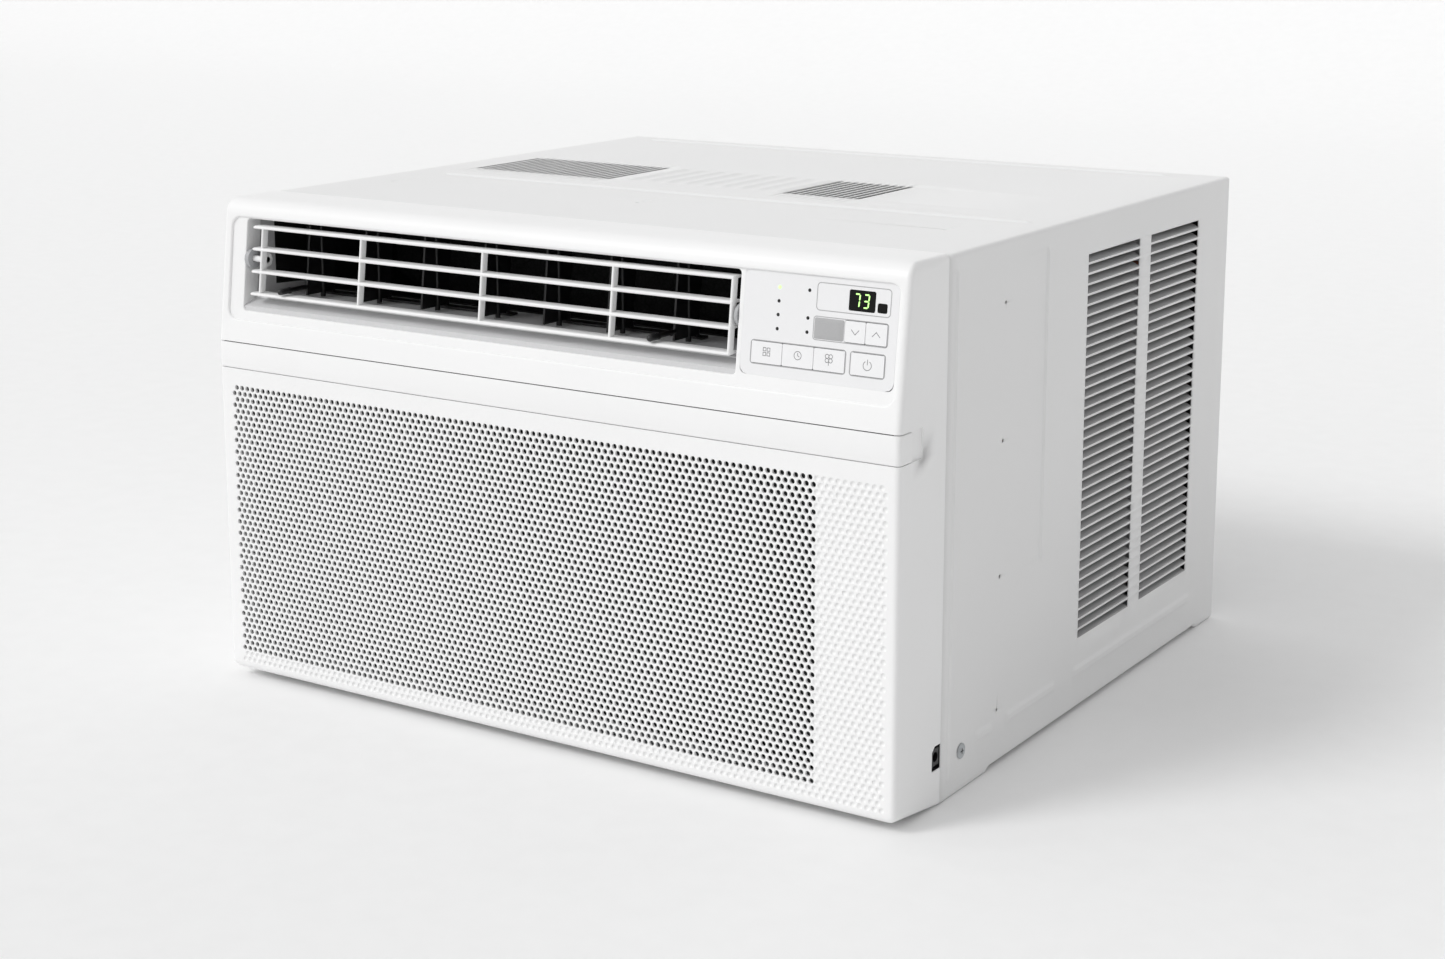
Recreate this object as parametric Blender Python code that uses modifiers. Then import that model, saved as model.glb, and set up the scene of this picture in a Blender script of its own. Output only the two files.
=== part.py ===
"""Window air conditioner: a slide-out chassis unit with its cabinet, fans, coils and controls.

Metres, +Z up, the room side faces -Y. The origin is on the ground under the middle of the unit.
"""
import math

import bmesh
import bpy
import numpy as np
from mathutils import Matrix, Vector

# ---- driving dimensions ----
WIDTH = 0.600
HEIGHT = 0.380
DEPTH = 0.563
FRONT_Y = -DEPTH / 2
BACK_Y = DEPTH / 2
BEAD = 0.0015            # height of the pressed beads, which set the outer width and height
HALF = WIDTH / 2 - BEAD  # half the width over the flat side walls
SEAM_Y = -0.218          # where the cabinet meets the front housing
SHEET = 0.0015
WALL = 0.0025
GAP = 0.0004

# ---- front housing ----
BREAK_Z = 0.270          # below this the face is upright, above it the face leans back
LEAN = math.atan2(0.0125, 0.104)
HOUSING_TOP = 0.3795
CHIN_RADIUS = 0.0070
CHIN_Z = 0.0065           # lowest point of the face's lower edge
BROW_RADIUS = 0.011
CORNER = 0.004
OUTLET_X = (-0.276, 0.1705)
OUTLET_Z = (0.295, 0.368)
HANDLE_Z = (0.2500, 0.2699)
HANDLE_BACK_Y = -0.265
FINGER_Y = -0.2506

# ---- control panel ----
FASCIA_X = (0.1740, 0.2900)
FASCIA_Z = (0.2970, 0.3700)
FASCIA_THICK = 0.0022
RECESS = 0.0020          # how far the panel lies behind the rim of the face
KEY_DEPTH = 0.0040
KEY_GAP = 0.0004
KEYS = {
    "mode_button": ((0.1824, 0.2058), (0.3052, 0.3195)),
    "timer_button": ((0.2062, 0.2297), (0.3052, 0.3195)),
    "fan_speed_button": ((0.2301, 0.2532), (0.3052, 0.3195)),
    "power_button": ((0.2578, 0.2823), (0.3052, 0.3195)),
    "temp_down_button": ((0.2518, 0.2669), (0.3255, 0.3393)),
    "temp_up_button": ((0.2673, 0.2828), (0.3255, 0.3393)),
}
DISPLAY_X = (0.2538, 0.2726)
DISPLAY_Z = (0.3463, 0.3591)
SENSOR_WINDOW_X = (0.2749, 0.2814)
SENSOR_WINDOW_Z = (0.3466, 0.3521)

# ---- outlet ----
DUCT_BACK_Y = -0.2036
DUCT_FLOOR = 0.3035
DUCT_ROOF = 0.3705
DUCT_X = (-0.2765, 0.1715)
GRID_X = (-0.2680, 0.1664)
SLAT_Z = (0.3085, 0.3255, 0.3425, 0.3590)
SLAT_THICK = 0.0026
SLAT_DEPTH = 0.0130
SLAT_FRONT_Y = -0.2742   # front edge of the slats at mid height of the grid
RIB_X = (-0.2585, -0.1600, -0.0460, 0.0680, 0.1651)
RIB_THICK = 0.0022
GRID_AXIS = (-0.2660, 0.3340)
VANE_X = {"left": (-0.2345, -0.1776, -0.1207, -0.0638), "right": (-0.0079, 0.0480, 0.1040)}
VANE_AXIS_Y = -0.2320
VANE_CHORD = 0.0300
VANE_THICK = 0.0016
VANE_Z = (0.3067, 0.3672)
PEG_Y = -0.2200
LEVER_Z = 0.3135
LEVER_TIP_Y = -0.2795

# ---- inside ----
AXIS_X = -0.0525         # the fan axis, shared by the blower and the condenser fan
AXIS_Z = 0.1790
SHAFT_RADIUS = 0.006
BLOWER_RADIUS = 0.095
BLOWER_Y = (-0.190, -0.105)
FAN_RADIUS = 0.1380        # middle of the slinger ring
FAN_Y = (0.1280, 0.1660)
COMPRESSOR_AT = (0.185, 0.030)
PAN_RIM_Z = 0.030
INSIDE_Z = 0.0325        # parts that stand on the pan's rim line start here

# ---- cabinet vents ----
LOUVRE_COUNT = 38
LOUVRE_Z = (0.0583, 0.3520)
LOUVRE_COLUMNS_Y = ((0.002, 0.097), (0.118, 0.215))
LOUVRE_GAP = 0.0034
TOP_VENTS = (((-0.2640, -0.1220), 20), ((0.0420, 0.1130), 10))
TOP_VENT_Y = (-0.008, 0.080)
SIDE_HOLES = tuple((-0.133, z) for z in (0.335, 0.238, 0.1406, 0.043))
TOP_HOLES = tuple((x, -0.116) for x in (-0.262, -0.0193, 0.2415))
SCREW_AT = (-0.188, 0.030)

FINISHES = {
    "white_plastic": ((0.86, 0.86, 0.86), 0.35, 0.0),
    "painted_steel": ((0.72, 0.72, 0.72), 0.40, 0.0),
    "fascia_plastic": ((0.83, 0.83, 0.84), 0.30, 0.0),
    "key_plastic": ((0.86, 0.86, 0.86), 0.35, 0.0),
    "dark_plastic": ((0.02, 0.02, 0.02), 0.45, 0.0),
    "black_window": ((0.005, 0.005, 0.005), 0.10, 0.0),
    "grey_plastic": ((0.45, 0.45, 0.46), 0.45, 0.0),
    "filter_net": ((0.20, 0.22, 0.24), 0.80, 0.0),
    "bare_steel": ((0.55, 0.55, 0.55), 0.40, 1.0),
    "fin_aluminium": ((0.75, 0.76, 0.77), 0.35, 1.0),
    "copper": ((0.72, 0.36, 0.22), 0.30, 1.0),
    "black_enamel": ((0.02, 0.02, 0.02), 0.35, 0.0),
    "rubber": ((0.03, 0.03, 0.03), 0.80, 0.0),
    "foam": ((0.78, 0.78, 0.76), 0.90, 0.0),
    "board_green": ((0.03, 0.22, 0.09), 0.50, 0.0),
}


# ---- scene and helpers ----
def clear_scene():
    for item in list(bpy.context.scene.objects):
        bpy.data.objects.remove(item, do_unlink=True)


def new_collection(name):
    collection = bpy.data.collections.new(name)
    bpy.context.scene.collection.children.link(collection)
    return collection


clear_scene()
PARTS = new_collection("window_air_conditioner")
CUTTERS = new_collection("cutters")


def finish_material(name):
    """The Principled material of one finish, made when it is first asked for."""
    if name in bpy.data.materials:
        return bpy.data.materials[name]
    colour, roughness, metallic = FINISHES[name]
    material = bpy.data.materials.new(name)
    material.use_nodes = True
    shader = material.node_tree.nodes["Principled BSDF"]
    shader.inputs["Base Color"].default_value = (*colour, 1.0)
    shader.inputs["Roughness"].default_value = roughness
    shader.inputs["Metallic"].default_value = metallic
    return material


def add_object(name, mesh, finish):
    """A new object: a part with its finish, or a hidden cutter when finish is None."""
    item = bpy.data.objects.new(name, mesh)
    if finish is None:
        item.hide_render = True
        item.display_type = "WIRE"
        CUTTERS.objects.link(item)
    else:
        item.data.materials.append(finish_material(finish))
        PARTS.objects.link(item)
    return item


def mesh_from(shape, name):
    mesh = bpy.data.meshes.new(name)
    shape.to_mesh(mesh)
    shape.free()
    return mesh


def box(name, low, high, finish=None):
    """An axis-aligned box between two corners, with its origin at its centre."""
    low, high = Vector(low), Vector(high)
    shape = bmesh.new()
    bmesh.ops.create_cube(shape, size=1.0, matrix=Matrix.Diagonal((*(high - low), 1.0)))
    item = add_object(name, mesh_from(shape, name), finish)
    item.location = (low + high) / 2
    return item


def boxes(name, corners, finish=None):
    """Many separate boxes in one mesh, used as a cutter or as pieces to be united."""
    shape = bmesh.new()
    for low, high in corners:
        low, high = Vector(low), Vector(high)
        place = Matrix.Translation((low + high) / 2) @ Matrix.Diagonal((*(high - low), 1.0))
        bmesh.ops.create_cube(shape, size=1.0, matrix=place)
    return add_object(name, mesh_from(shape, name), finish)


AXIS_TURN = {
    "X": (0.0, math.pi / 2, 0.0),
    "Y": (-math.pi / 2, 0.0, 0.0),
    "Z": (0.0, 0.0, 0.0),
}


def cylinder(name, low, high, radius, axis, at, finish=None, sides=24):
    """A cylinder along an axis from low to high; at is its place on the other two axes."""
    shape = bmesh.new()
    bmesh.ops.create_cone(shape, cap_ends=True, segments=sides, radius1=radius, radius2=radius,
                          depth=high - low)
    item = add_object(name, mesh_from(shape, name), finish)
    middle = (low + high) / 2
    first, second = at
    item.location = {"X": (middle, first, second), "Y": (first, middle, second),
                     "Z": (first, second, middle)}[axis]
    item.rotation_euler = AXIS_TURN[axis]
    smooth(item)
    return item


def smooth(item, angle=math.radians(35)):
    item.data.shade_smooth()
    item.data.set_sharp_from_angle(angle=angle)


def turned(name, profile, axis, at, finish=None, steps=32, closed=False):
    """A turned shape: profile is (radius, height) down the outer side; closed gives it a bore."""
    points = [(radius, 0.0, height) for radius, height in profile]
    edges = [(i, i + 1) for i in range(len(points) - 1)]
    if closed:
        edges.append((len(points) - 1, 0))
    mesh = bpy.data.meshes.new(name)
    mesh.from_pydata(points, edges, [])
    item = add_object(name, mesh, finish)
    spin = item.modifiers.new("turn", "SCREW")
    spin.axis = "Z"
    spin.steps = steps
    spin.render_steps = steps
    spin.use_merge_vertices = True
    spin.merge_threshold = 0.0001
    spin.use_smooth_shade = True
    item.location = {"Y": (at[0], 0.0, at[1]), "Z": (at[0], at[1], 0.0)}[axis]
    item.rotation_euler = AXIS_TURN[axis]
    return item


PLANE_TURN = {
    "YZ": (math.pi / 2, 0.0, math.pi / 2),
    "XZ": (math.pi / 2, 0.0, 0.0),
    "XY": (0.0, 0.0, 0.0),
}
PLANE_NORMAL = {"YZ": Vector((1, 0, 0)), "XZ": Vector((0, 1, 0)), "XY": Vector((0, 0, 1))}


def curve_mesh(curve, name):
    """The welded mesh of a curve, which is then removed."""
    source = bpy.data.objects.new(name + "_curve", curve)
    PARTS.objects.link(source)
    bpy.context.view_layer.update()
    graph = bpy.context.evaluated_depsgraph_get()
    mesh = bpy.data.meshes.new_from_object(source.evaluated_get(graph))
    mesh.materials.clear()
    bpy.data.objects.remove(source, do_unlink=True)
    shape = bmesh.new()
    shape.from_mesh(mesh)
    bmesh.ops.remove_doubles(shape, verts=shape.verts, dist=0.00001)
    bmesh.ops.recalc_face_normals(shape, faces=shape.faces)
    shape.to_mesh(mesh)
    shape.free()
    mesh.name = name
    return mesh


def outline_mesh(name, points, thickness):
    """A flat closed outline given a thickness, centred on its own plane."""
    curve = bpy.data.curves.new(name, "CURVE")
    curve.dimensions = "2D"
    curve.fill_mode = "BOTH"
    curve.extrude = thickness / 2
    spline = curve.splines.new("POLY")
    spline.points.add(len(points) - 1)
    for point, (across, up) in zip(spline.points, points):
        point.co = (across, up, 0.0, 1.0)
    spline.use_cyclic_u = True
    return curve_mesh(curve, name)


def outline(name, points, plane, low, high, finish=None):
    """An outline drawn in a plane and extruded between two values along the third axis."""
    item = add_object(name, outline_mesh(name, points, high - low), finish)
    item.rotation_euler = PLANE_TURN[plane]
    item.location = PLANE_NORMAL[plane] * (low + high) / 2
    return item


def arc(centre, radius, start, end, steps):
    """Points along an arc; angles in degrees, turning from start to end."""
    angles = np.radians(np.linspace(start, end, steps + 1))
    return [(centre[0] + radius * math.cos(a), centre[1] + radius * math.sin(a)) for a in angles]


def rounded_rectangle(width, height, radius, steps=3):
    across, up = width / 2 - radius, height / 2 - radius
    corners = (((across, up), 0), ((-across, up), 90), ((-across, -up), 180), ((across, -up), 270))
    points = []
    for centre, start in corners:
        points += arc(centre, radius, start, start + 90, steps)
    return points


def tube(name, points, radius, finish, rounding=2):
    """A round pipe along smooth points, with filled ends."""
    curve = bpy.data.curves.new(name, "CURVE")
    curve.dimensions = "3D"
    curve.bevel_depth = radius
    curve.bevel_resolution = rounding
    curve.use_fill_caps = True
    spline = curve.splines.new("POLY")
    spline.points.add(len(points) - 1)
    for point, place in zip(spline.points, points):
        point.co = (*place, 1.0)
    item = add_object(name, curve_mesh(curve, name), finish)
    smooth(item)
    return item


def smooth_path(route, per_span=3):
    """Points of a Catmull-Rom curve through the route's own points."""
    route = np.array(route, float)
    ends = np.vstack([2 * route[0] - route[1], route, 2 * route[-1] - route[-2]])
    points = []
    for before, start, end, after in zip(ends, ends[1:], ends[2:], ends[3:]):
        for t in np.arange(per_span) / per_span:
            points.append(0.5 * (2 * start + (end - before) * t
                                 + (2 * before - 5 * start + 4 * end - after) * t ** 2
                                 + (3 * start - before - 3 * end + after) * t ** 3))
    points.append(route[-1])
    return points


def boolean(item, other, operation):
    step = item.modifiers.new(other.name, "BOOLEAN")
    step.operation = operation
    step.solver = "EXACT"
    step.object = other


def cut(item, *cutters):
    for cutter in cutters:
        boolean(item, cutter, "DIFFERENCE")


def unite(item, *others):
    for other in others:
        boolean(item, other, "UNION")


def axis_empty(name, place, pieces):
    """An empty on a joint's axis that carries the pieces that move about it."""
    empty = bpy.data.objects.new(name, None)
    empty.location = place
    PARTS.objects.link(empty)
    for piece in pieces:
        piece.parent = empty
        piece.matrix_parent_inverse = Matrix.Translation(place).inverted()


# ---- the leaning part of the face ----
FACE_NORMAL = Vector((0.0, -math.cos(LEAN), math.sin(LEAN)))


def face_y(z):
    """Where the front face lies in Y at a height: upright below BREAK_Z, leaning above it."""
    return FRONT_Y + max(0.0, z - BREAK_Z) * math.tan(LEAN)


def face_plate(name, across, heights, under, over, radius, finish=None):
    """A rounded plate parallel to the leaning face, from under to over along its normal."""
    tall = (heights[1] - heights[0]) / math.cos(LEAN)
    points = rounded_rectangle(across[1] - across[0], tall, radius)
    item = add_object(name, outline_mesh(name, points, over - under), finish)
    middle_z = sum(heights) / 2
    item.rotation_euler = (math.pi / 2 - LEAN, 0.0, 0.0)
    item.location = Vector((sum(across) / 2, face_y(middle_z), middle_z)) + FACE_NORMAL * (under + over) / 2
    return item


def grown(span, by):
    return span[0] - by, span[1] + by


# ---- cabinet ----
def cabinet_side_outline():
    """Side view of the sleeve: a front and a rear foot stand lower than the floor between."""
    floor = 0.003
    front_foot_y, rear_foot_y = -0.147, 0.246
    front = SEAM_Y + GAP
    top = HEIGHT - BEAD
    return [(front, 0.0), (front_foot_y, 0.0), (front_foot_y + floor, floor), (rear_foot_y - floor, floor),
            (rear_foot_y, 0.0), (BACK_Y, 0.0), (BACK_Y, top), (front, top)]


def louvre_slots():
    """One box for each louvre gap in both side walls."""
    slots = []
    pitch = (LOUVRE_Z[1] - LOUVRE_Z[0]) / LOUVRE_COUNT
    for side in (-1, 1):
        near, far = sorted((side * (HALF - 0.005), side * (HALF + 0.004)))
        for start, end in LOUVRE_COLUMNS_Y:
            for i in range(LOUVRE_COUNT):
                z = LOUVRE_Z[0] + (i + 0.5) * pitch
                slots.append(((near, start, z - LOUVRE_GAP / 2), (far, end, z + LOUVRE_GAP / 2)))
    return slots


def top_slots():
    slots = []
    for (start, end), count in TOP_VENTS:
        pitch = (end - start) / count
        for i in range(count):
            x = start + (i + 0.5) * pitch
            half = 0.0019
            slots.append(((x - half, TOP_VENT_Y[0], HEIGHT - 0.006),
                          (x + half, TOP_VENT_Y[1], HEIGHT + 0.004)))
    return slots


def side_beads():
    """Pressed beads that stand proud of both side walls, and two across the top."""
    beads = []
    upright = ((-0.2055, 0.0107, 0.3686), (-0.0670, 0.1350, 0.3660))
    low = ((-0.168, -0.139), (-0.121, -0.036), (-0.007, 0.226))
    bury = 0.0005
    for side in (-1, 1):
        near, far = sorted((side * (HALF - bury), side * (HALF + BEAD)))
        for y, start, end in upright:
            beads.append(((near, y - 0.002, start), (far, y + 0.002, end)))
        for start, end in low:
            beads.append(((near, start, 0.029), (far, end, 0.037)))
    top = HEIGHT - BEAD
    for y in (-0.055, 0.258):
        beads.append(((-0.262, y - 0.003, top - bury), (0.262, y + 0.003, top + BEAD)))
    return beads


def make_cabinet():
    cabinet = outline("outer_cabinet", cabinet_side_outline(), "YZ", -HALF, HALF, "painted_steel")
    inner = HALF - SHEET
    floor_top = 0.0045
    roof = HEIGHT - BEAD - SHEET
    cut(cabinet,
        box("cabinet_inside", (-inner, SEAM_Y - 0.01, floor_top), (inner, BACK_Y - SHEET, roof)),
        box("cabinet_rear_opening", (-0.284, BACK_Y - 0.01, 0.016), (0.284, BACK_Y + 0.01, 0.365)),
        boxes("cabinet_louvre_gaps", louvre_slots()),
        boxes("cabinet_top_vents", top_slots()))
    unite(cabinet, boxes("cabinet_beads", side_beads()))
    for side in (-1, 1):
        low, high = sorted((side * (HALF - 0.004), side * (HALF + 0.004)))
        for number, at in enumerate(SIDE_HOLES + (SCREW_AT,)):
            radius = 0.0026 if at == SCREW_AT else 0.0018
            cut(cabinet, cylinder(f"side_hole_{side}_{number}", low, high, radius, "X", at, sides=8))
    for number, at in enumerate(TOP_HOLES):
        cut(cabinet, cylinder(f"top_hole_{number}", HEIGHT - 0.006, HEIGHT + 0.004, 0.0018, "Z", at, sides=8))
    for side, word in ((-1, "left"), (1, "right")):
        make_cabinet_screw(side, word)


def make_cabinet_screw(side, word):
    """The screw that locks the chassis: a flat head on the side wall and a short shank in its hole."""
    head = side * (HALF + 0.0003)
    low, high = sorted((head, side * (HALF + BEAD - 0.0001)))
    screw = cylinder(f"cabinet_screw_{word}", low, high, 0.0055, "X", SCREW_AT, "bare_steel", sides=16)
    low, high = sorted((side * (HALF + 0.0006), side * (HALF - 0.0022)))
    unite(screw, cylinder(f"cabinet_screw_shank_{word}", low, high, 0.0019, "X", SCREW_AT, sides=12))


# ---- chassis: pan, housing and controls ----
def make_base_pan():
    low = (-HALF + 0.004, -0.240, 0.0065)
    high = (HALF - 0.004, 0.272, PAN_RIM_Z)
    pan = box("base_pan", low, high, "bare_steel")
    inside_low = tuple(value + SHEET for value in low)
    cut(pan, box("pan_inside", inside_low, (high[0] - SHEET, high[1] - SHEET, high[2] + 0.01)),
        cylinder("pan_drain_hole", 0.0, 0.02, 0.0058, "Z", (0.240, 0.205), sides=16))
    plug = [(0.0, 0.0125), (0.0052, 0.0125), (0.0052, 0.0060),
            (0.0085, 0.0060), (0.0085, 0.0049), (0.0, 0.0049)]
    turned("drain_plug", plug, "Z", (0.240, 0.205), "rubber", steps=16)


def housing_outline(inset):
    """Side view of the front housing, drawn inwards by inset for the inner surface."""
    lean_z = HOUSING_TOP - BROW_RADIUS
    brow_y = face_y(lean_z) + BROW_RADIUS
    chin_y = FRONT_Y + CHIN_RADIUS
    chin_z = CHIN_Z + CHIN_RADIUS
    back = SEAM_Y - GAP / 2 if inset == 0 else SEAM_Y + 0.01
    points = [(back, inset)]
    points += arc((chin_y, chin_z), CHIN_RADIUS - inset, 262, 180, 4)
    points.append((FRONT_Y + inset, BREAK_Z))
    points += arc((brow_y, lean_z), BROW_RADIUS - inset, 173, 90, 4)
    points.append((back, HOUSING_TOP - inset))
    return points


def make_front_housing():
    housing = outline("front_housing", housing_outline(0.0), "YZ", -HALF, HALF, "white_plastic")
    shape = bmesh.new()
    shape.from_mesh(housing.data)
    ends = [edge for edge in shape.edges
            if edge.verts[0].co.x < -0.2599 and edge.verts[1].co.x < -0.2599
            and abs(edge.verts[0].co.z - edge.verts[1].co.z) < 1e-6
            and len({round(face.normal.z) for face in edge.link_faces}) == 2]
    bmesh.ops.bevel(shape, geom=ends, offset=CORNER, segments=2, affect="EDGES", profile=0.5)
    shape.to_mesh(housing.data)
    shape.free()
    inner = HALF - WALL
    cut(housing, outline("housing_inside", housing_outline(WALL), "YZ", -inner, inner),
        face_plate("outlet_opening", OUTLET_X, OUTLET_Z, -0.02, 0.02, 0.003),
        face_plate("fascia_opening", grown(FASCIA_X, GAP), grown(FASCIA_Z, GAP), -0.01, 0.01, 0.006),
        box("handle_gap", (-0.31, -0.30, HANDLE_Z[0] - GAP), (0.31, FINGER_Y, HANDLE_Z[1] + GAP)),
        box("cord_slot", (0.29, -0.230, 0.028), (0.31, SEAM_Y + 0.01, 0.045)))


def make_control_panel():
    panel = face_plate("control_panel", FASCIA_X, FASCIA_Z, -RECESS - FASCIA_THICK, -RECESS, 0.006,
                       "fascia_plastic")
    openings = {
        "keys_low": ((0.1824, 0.2532), (0.3052, 0.3195)),
        "keys_power": KEYS["power_button"],
        "keys_temp": ((0.2518, 0.2828), (0.3255, 0.3393)),
        "window_display": (DISPLAY_X, DISPLAY_Z),
        "window_sensor": (SENSOR_WINDOW_X, SENSOR_WINDOW_Z),
    }
    for name, (across, heights) in openings.items():
        cut(panel, face_plate(name, grown(across, KEY_GAP), grown(heights, KEY_GAP), -0.01, 0.01, 0.0012))
    for name, (across, heights) in KEYS.items():
        key = face_plate(name, across, heights, -RECESS - KEY_DEPTH, -RECESS + 0.0002, 0.0008, "key_plastic")
        axis_empty(name + "_axis", key.location.copy(), [key])
    for name, across, heights in (("display_window", DISPLAY_X, DISPLAY_Z),
                                  ("remote_sensor_window", SENSOR_WINDOW_X, SENSOR_WINDOW_Z)):
        face_plate(name, across, heights, -RECESS - 0.003, -RECESS, 0.0008, "black_window")
    face_plate("control_board", (0.1800, 0.2880), (0.3000, 0.3660), -RECESS - 0.0076, -RECESS - 0.0060, 0.002,
               "board_green")


def make_control_box():
    """The sheet-metal box behind the control panel, open to the front, and the capacitor under it."""
    low, high = (0.1800, -0.2540, 0.2760), (0.2920, -0.1300, 0.3720)
    tray = box("control_box", low, high, "bare_steel")
    cut(tray, box("control_box_inside", (low[0] + SHEET, low[1] - 0.01, low[2] + SHEET),
                  (high[0] - SHEET, high[1] - SHEET, high[2] - SHEET)))
    can = [(0.0, 0.2745), (0.006, 0.2745), (0.006, 0.2680), (0.0210, 0.2660), (0.0225, 0.2640),
           (0.0225, 0.1800), (0.0, 0.1800)]
    turned("run_capacitor", can, "Z", (0.215, -0.150), "bare_steel", steps=20)


def make_cord_gland():
    """The bushing that the supply cord would leave by, in the slot at the housing's lower corner."""
    gland = box("cord_gland", (0.2850, -0.2290, 0.0310), (0.2978, -0.2192, 0.0430), "dark_plastic")
    cut(gland, cylinder("gland_bore", 0.28, 0.31, 0.0036, "X", (-0.2241, 0.0370), sides=12))


# ---- air filter ----
def make_filter():
    low, high = (-0.288, -0.2580, 0.024), (0.232, -0.2540, 0.2535)
    frame = box("filter_frame", low, high, "grey_plastic")
    bar = 0.008
    columns, rows = 4, 2
    wide = (high[0] - low[0] - bar * (columns + 1)) / columns
    tall = (high[2] - low[2] - bar * (rows + 1)) / rows
    windows = []
    for column in range(columns):
        for row in range(rows):
            x = low[0] + bar + column * (wide + bar)
            z = low[2] + bar + row * (tall + bar)
            windows.append(((x, -0.27, z), (x + wide, -0.24, z + tall)))
    cut(frame, boxes("filter_windows", windows))
    net = box("filter_mesh", (low[0] + 0.002, -0.2537, low[2] + 0.002), (high[0] - 0.002, -0.2531, 0.2515),
              "filter_net")
    handle = box("filter_handle", (-HALF, FRONT_Y, HANDLE_Z[0]), (HALF, HANDLE_BACK_Y, HANDLE_Z[1]),
                 "white_plastic")
    cut(handle, box("handle_inside", (-HALF + WALL, FRONT_Y + WALL, 0.24), (HALF - WALL, -0.26, 0.28)))
    unite(handle, box("handle_web", (-0.285, FRONT_Y + 0.001, 0.2540), (0.229, -0.2545, 0.2560)))
    axis_empty("filter_pull_axis", Vector((0.0, FRONT_Y, 0.260)), [frame, net, handle])


# ---- outlet: duct, slats and vanes ----
def duct_outline():
    return [(-0.2752, 0.2935), (DUCT_BACK_Y, 0.2935), (DUCT_BACK_Y, 0.3730), (-0.2652, 0.3730)]


def make_outlet_duct():
    duct = outline("outlet_duct", duct_outline(), "YZ", DUCT_X[0] - 0.002, DUCT_X[1] + 0.002, "grey_plastic")
    bore = [(-0.290, 0.2925), (-0.2620, DUCT_FLOOR), (-0.190, DUCT_FLOOR), (-0.190, DUCT_ROOF),
            (-0.290, DUCT_ROOF)]
    cut(duct, outline("duct_bore", bore, "YZ", *DUCT_X))
    for group, places in VANE_X.items():
        for number, x in enumerate(places):
            cut(duct, cylinder(f"vane_pin_hole_{group}_{number}", 0.2990, 0.3750, 0.0026, "Z",
                               (x, VANE_AXIS_Y), sides=12))


def lean_mesh(item, middle_z):
    """Shears a mesh so that upright lines follow the leaning face."""
    tilt = Matrix.Identity(4)
    tilt[1][2] = math.tan(LEAN)
    item.data.transform(Matrix.Translation((0, 0, middle_z)) @ tilt @ Matrix.Translation((0, 0, -middle_z)))


def make_louvre_grid():
    """Four slats and five ribs as one tilting grid, with a pivot pin at each end."""
    low_z, high_z = SLAT_Z[0] - SLAT_THICK / 2, SLAT_Z[-1] + SLAT_THICK / 2
    middle_z = GRID_AXIS[1]
    back_y = SLAT_FRONT_Y + SLAT_DEPTH
    grid = boxes("louvre_grid", [((GRID_X[0], SLAT_FRONT_Y, low_z), (GRID_X[1], back_y, high_z))],
                 "white_plastic")
    edges = [GRID_X[0] - 0.01]
    for x in RIB_X:
        edges += [x - RIB_THICK / 2, x + RIB_THICK / 2]
    edges.append(GRID_X[1] + 0.01)
    windows = []
    for below, above in zip(SLAT_Z, SLAT_Z[1:]):
        for start, end in zip(edges[::2], edges[1::2]):
            windows.append(((start, SLAT_FRONT_Y - 0.02, below + SLAT_THICK / 2),
                            (end, back_y + 0.02, above - SLAT_THICK / 2)))
    gaps = boxes("grid_windows", windows)
    lean_mesh(grid, middle_z)
    cut(grid, gaps)
    pins = [("left", RIB_X[0], -0.2750), ("right", 0.1698, RIB_X[-1])]
    for word, first, second in pins:
        low, high = sorted((first, second))
        unite(grid, cylinder(f"grid_pin_{word}", low, high, 0.0024, "X", GRID_AXIS, sides=12))
    axis_empty("louvre_axis", Vector((0.0, *GRID_AXIS)), [grid])
    for word, low, high in (("left", -0.2756, -0.2718), ("right", 0.1679, 0.1701)):
        clip = cylinder(f"pivot_clip_{word}", low, high, 0.0075, "X", GRID_AXIS, "grey_plastic", sides=16)
        cut(clip, cylinder(f"clip_hole_{word}", low - 0.01, high + 0.01, 0.0030, "X", GRID_AXIS, sides=12))


def make_vane(group, number, x):
    """One upright vane: a thin plate with pivot pins above and below and a peg for the tie bar."""
    name = f"vane_{group}_{number}"
    middle_z = sum(VANE_Z) / 2
    half = VANE_CHORD / 2
    plate = boxes(name, [((x - VANE_THICK / 2, VANE_AXIS_Y - half, VANE_Z[0]),
                          (x + VANE_THICK / 2, VANE_AXIS_Y + half, VANE_Z[1]))], "dark_plastic")
    lean_mesh(plate, middle_z)
    unite(plate,
          cylinder(name + "_pin", 0.3002, 0.3724, 0.0020, "Z", (x, VANE_AXIS_Y), sides=12),
          cylinder(name + "_peg", 0.3041, 0.3100, 0.0012, "Z", (x, PEG_Y), sides=8))
    return plate


def make_lever(group, x):
    """The finger lever that stands forward from a vane, with a rounded head."""
    start = -0.2502
    neck, head = 0.0018, 0.0024
    profile = [(0.0, start), (neck, start), (neck, LEVER_TIP_Y + 0.014), (head, LEVER_TIP_Y + 0.012)]
    profile += [(radius, height) for height, radius in arc((LEVER_TIP_Y + head, 0.0), head, 90, 180, 3)][:-1]
    profile.append((0.0, LEVER_TIP_Y))
    return turned(f"air_lever_{group}", profile, "Y", (x, LEVER_Z), "dark_plastic", steps=12)


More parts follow.
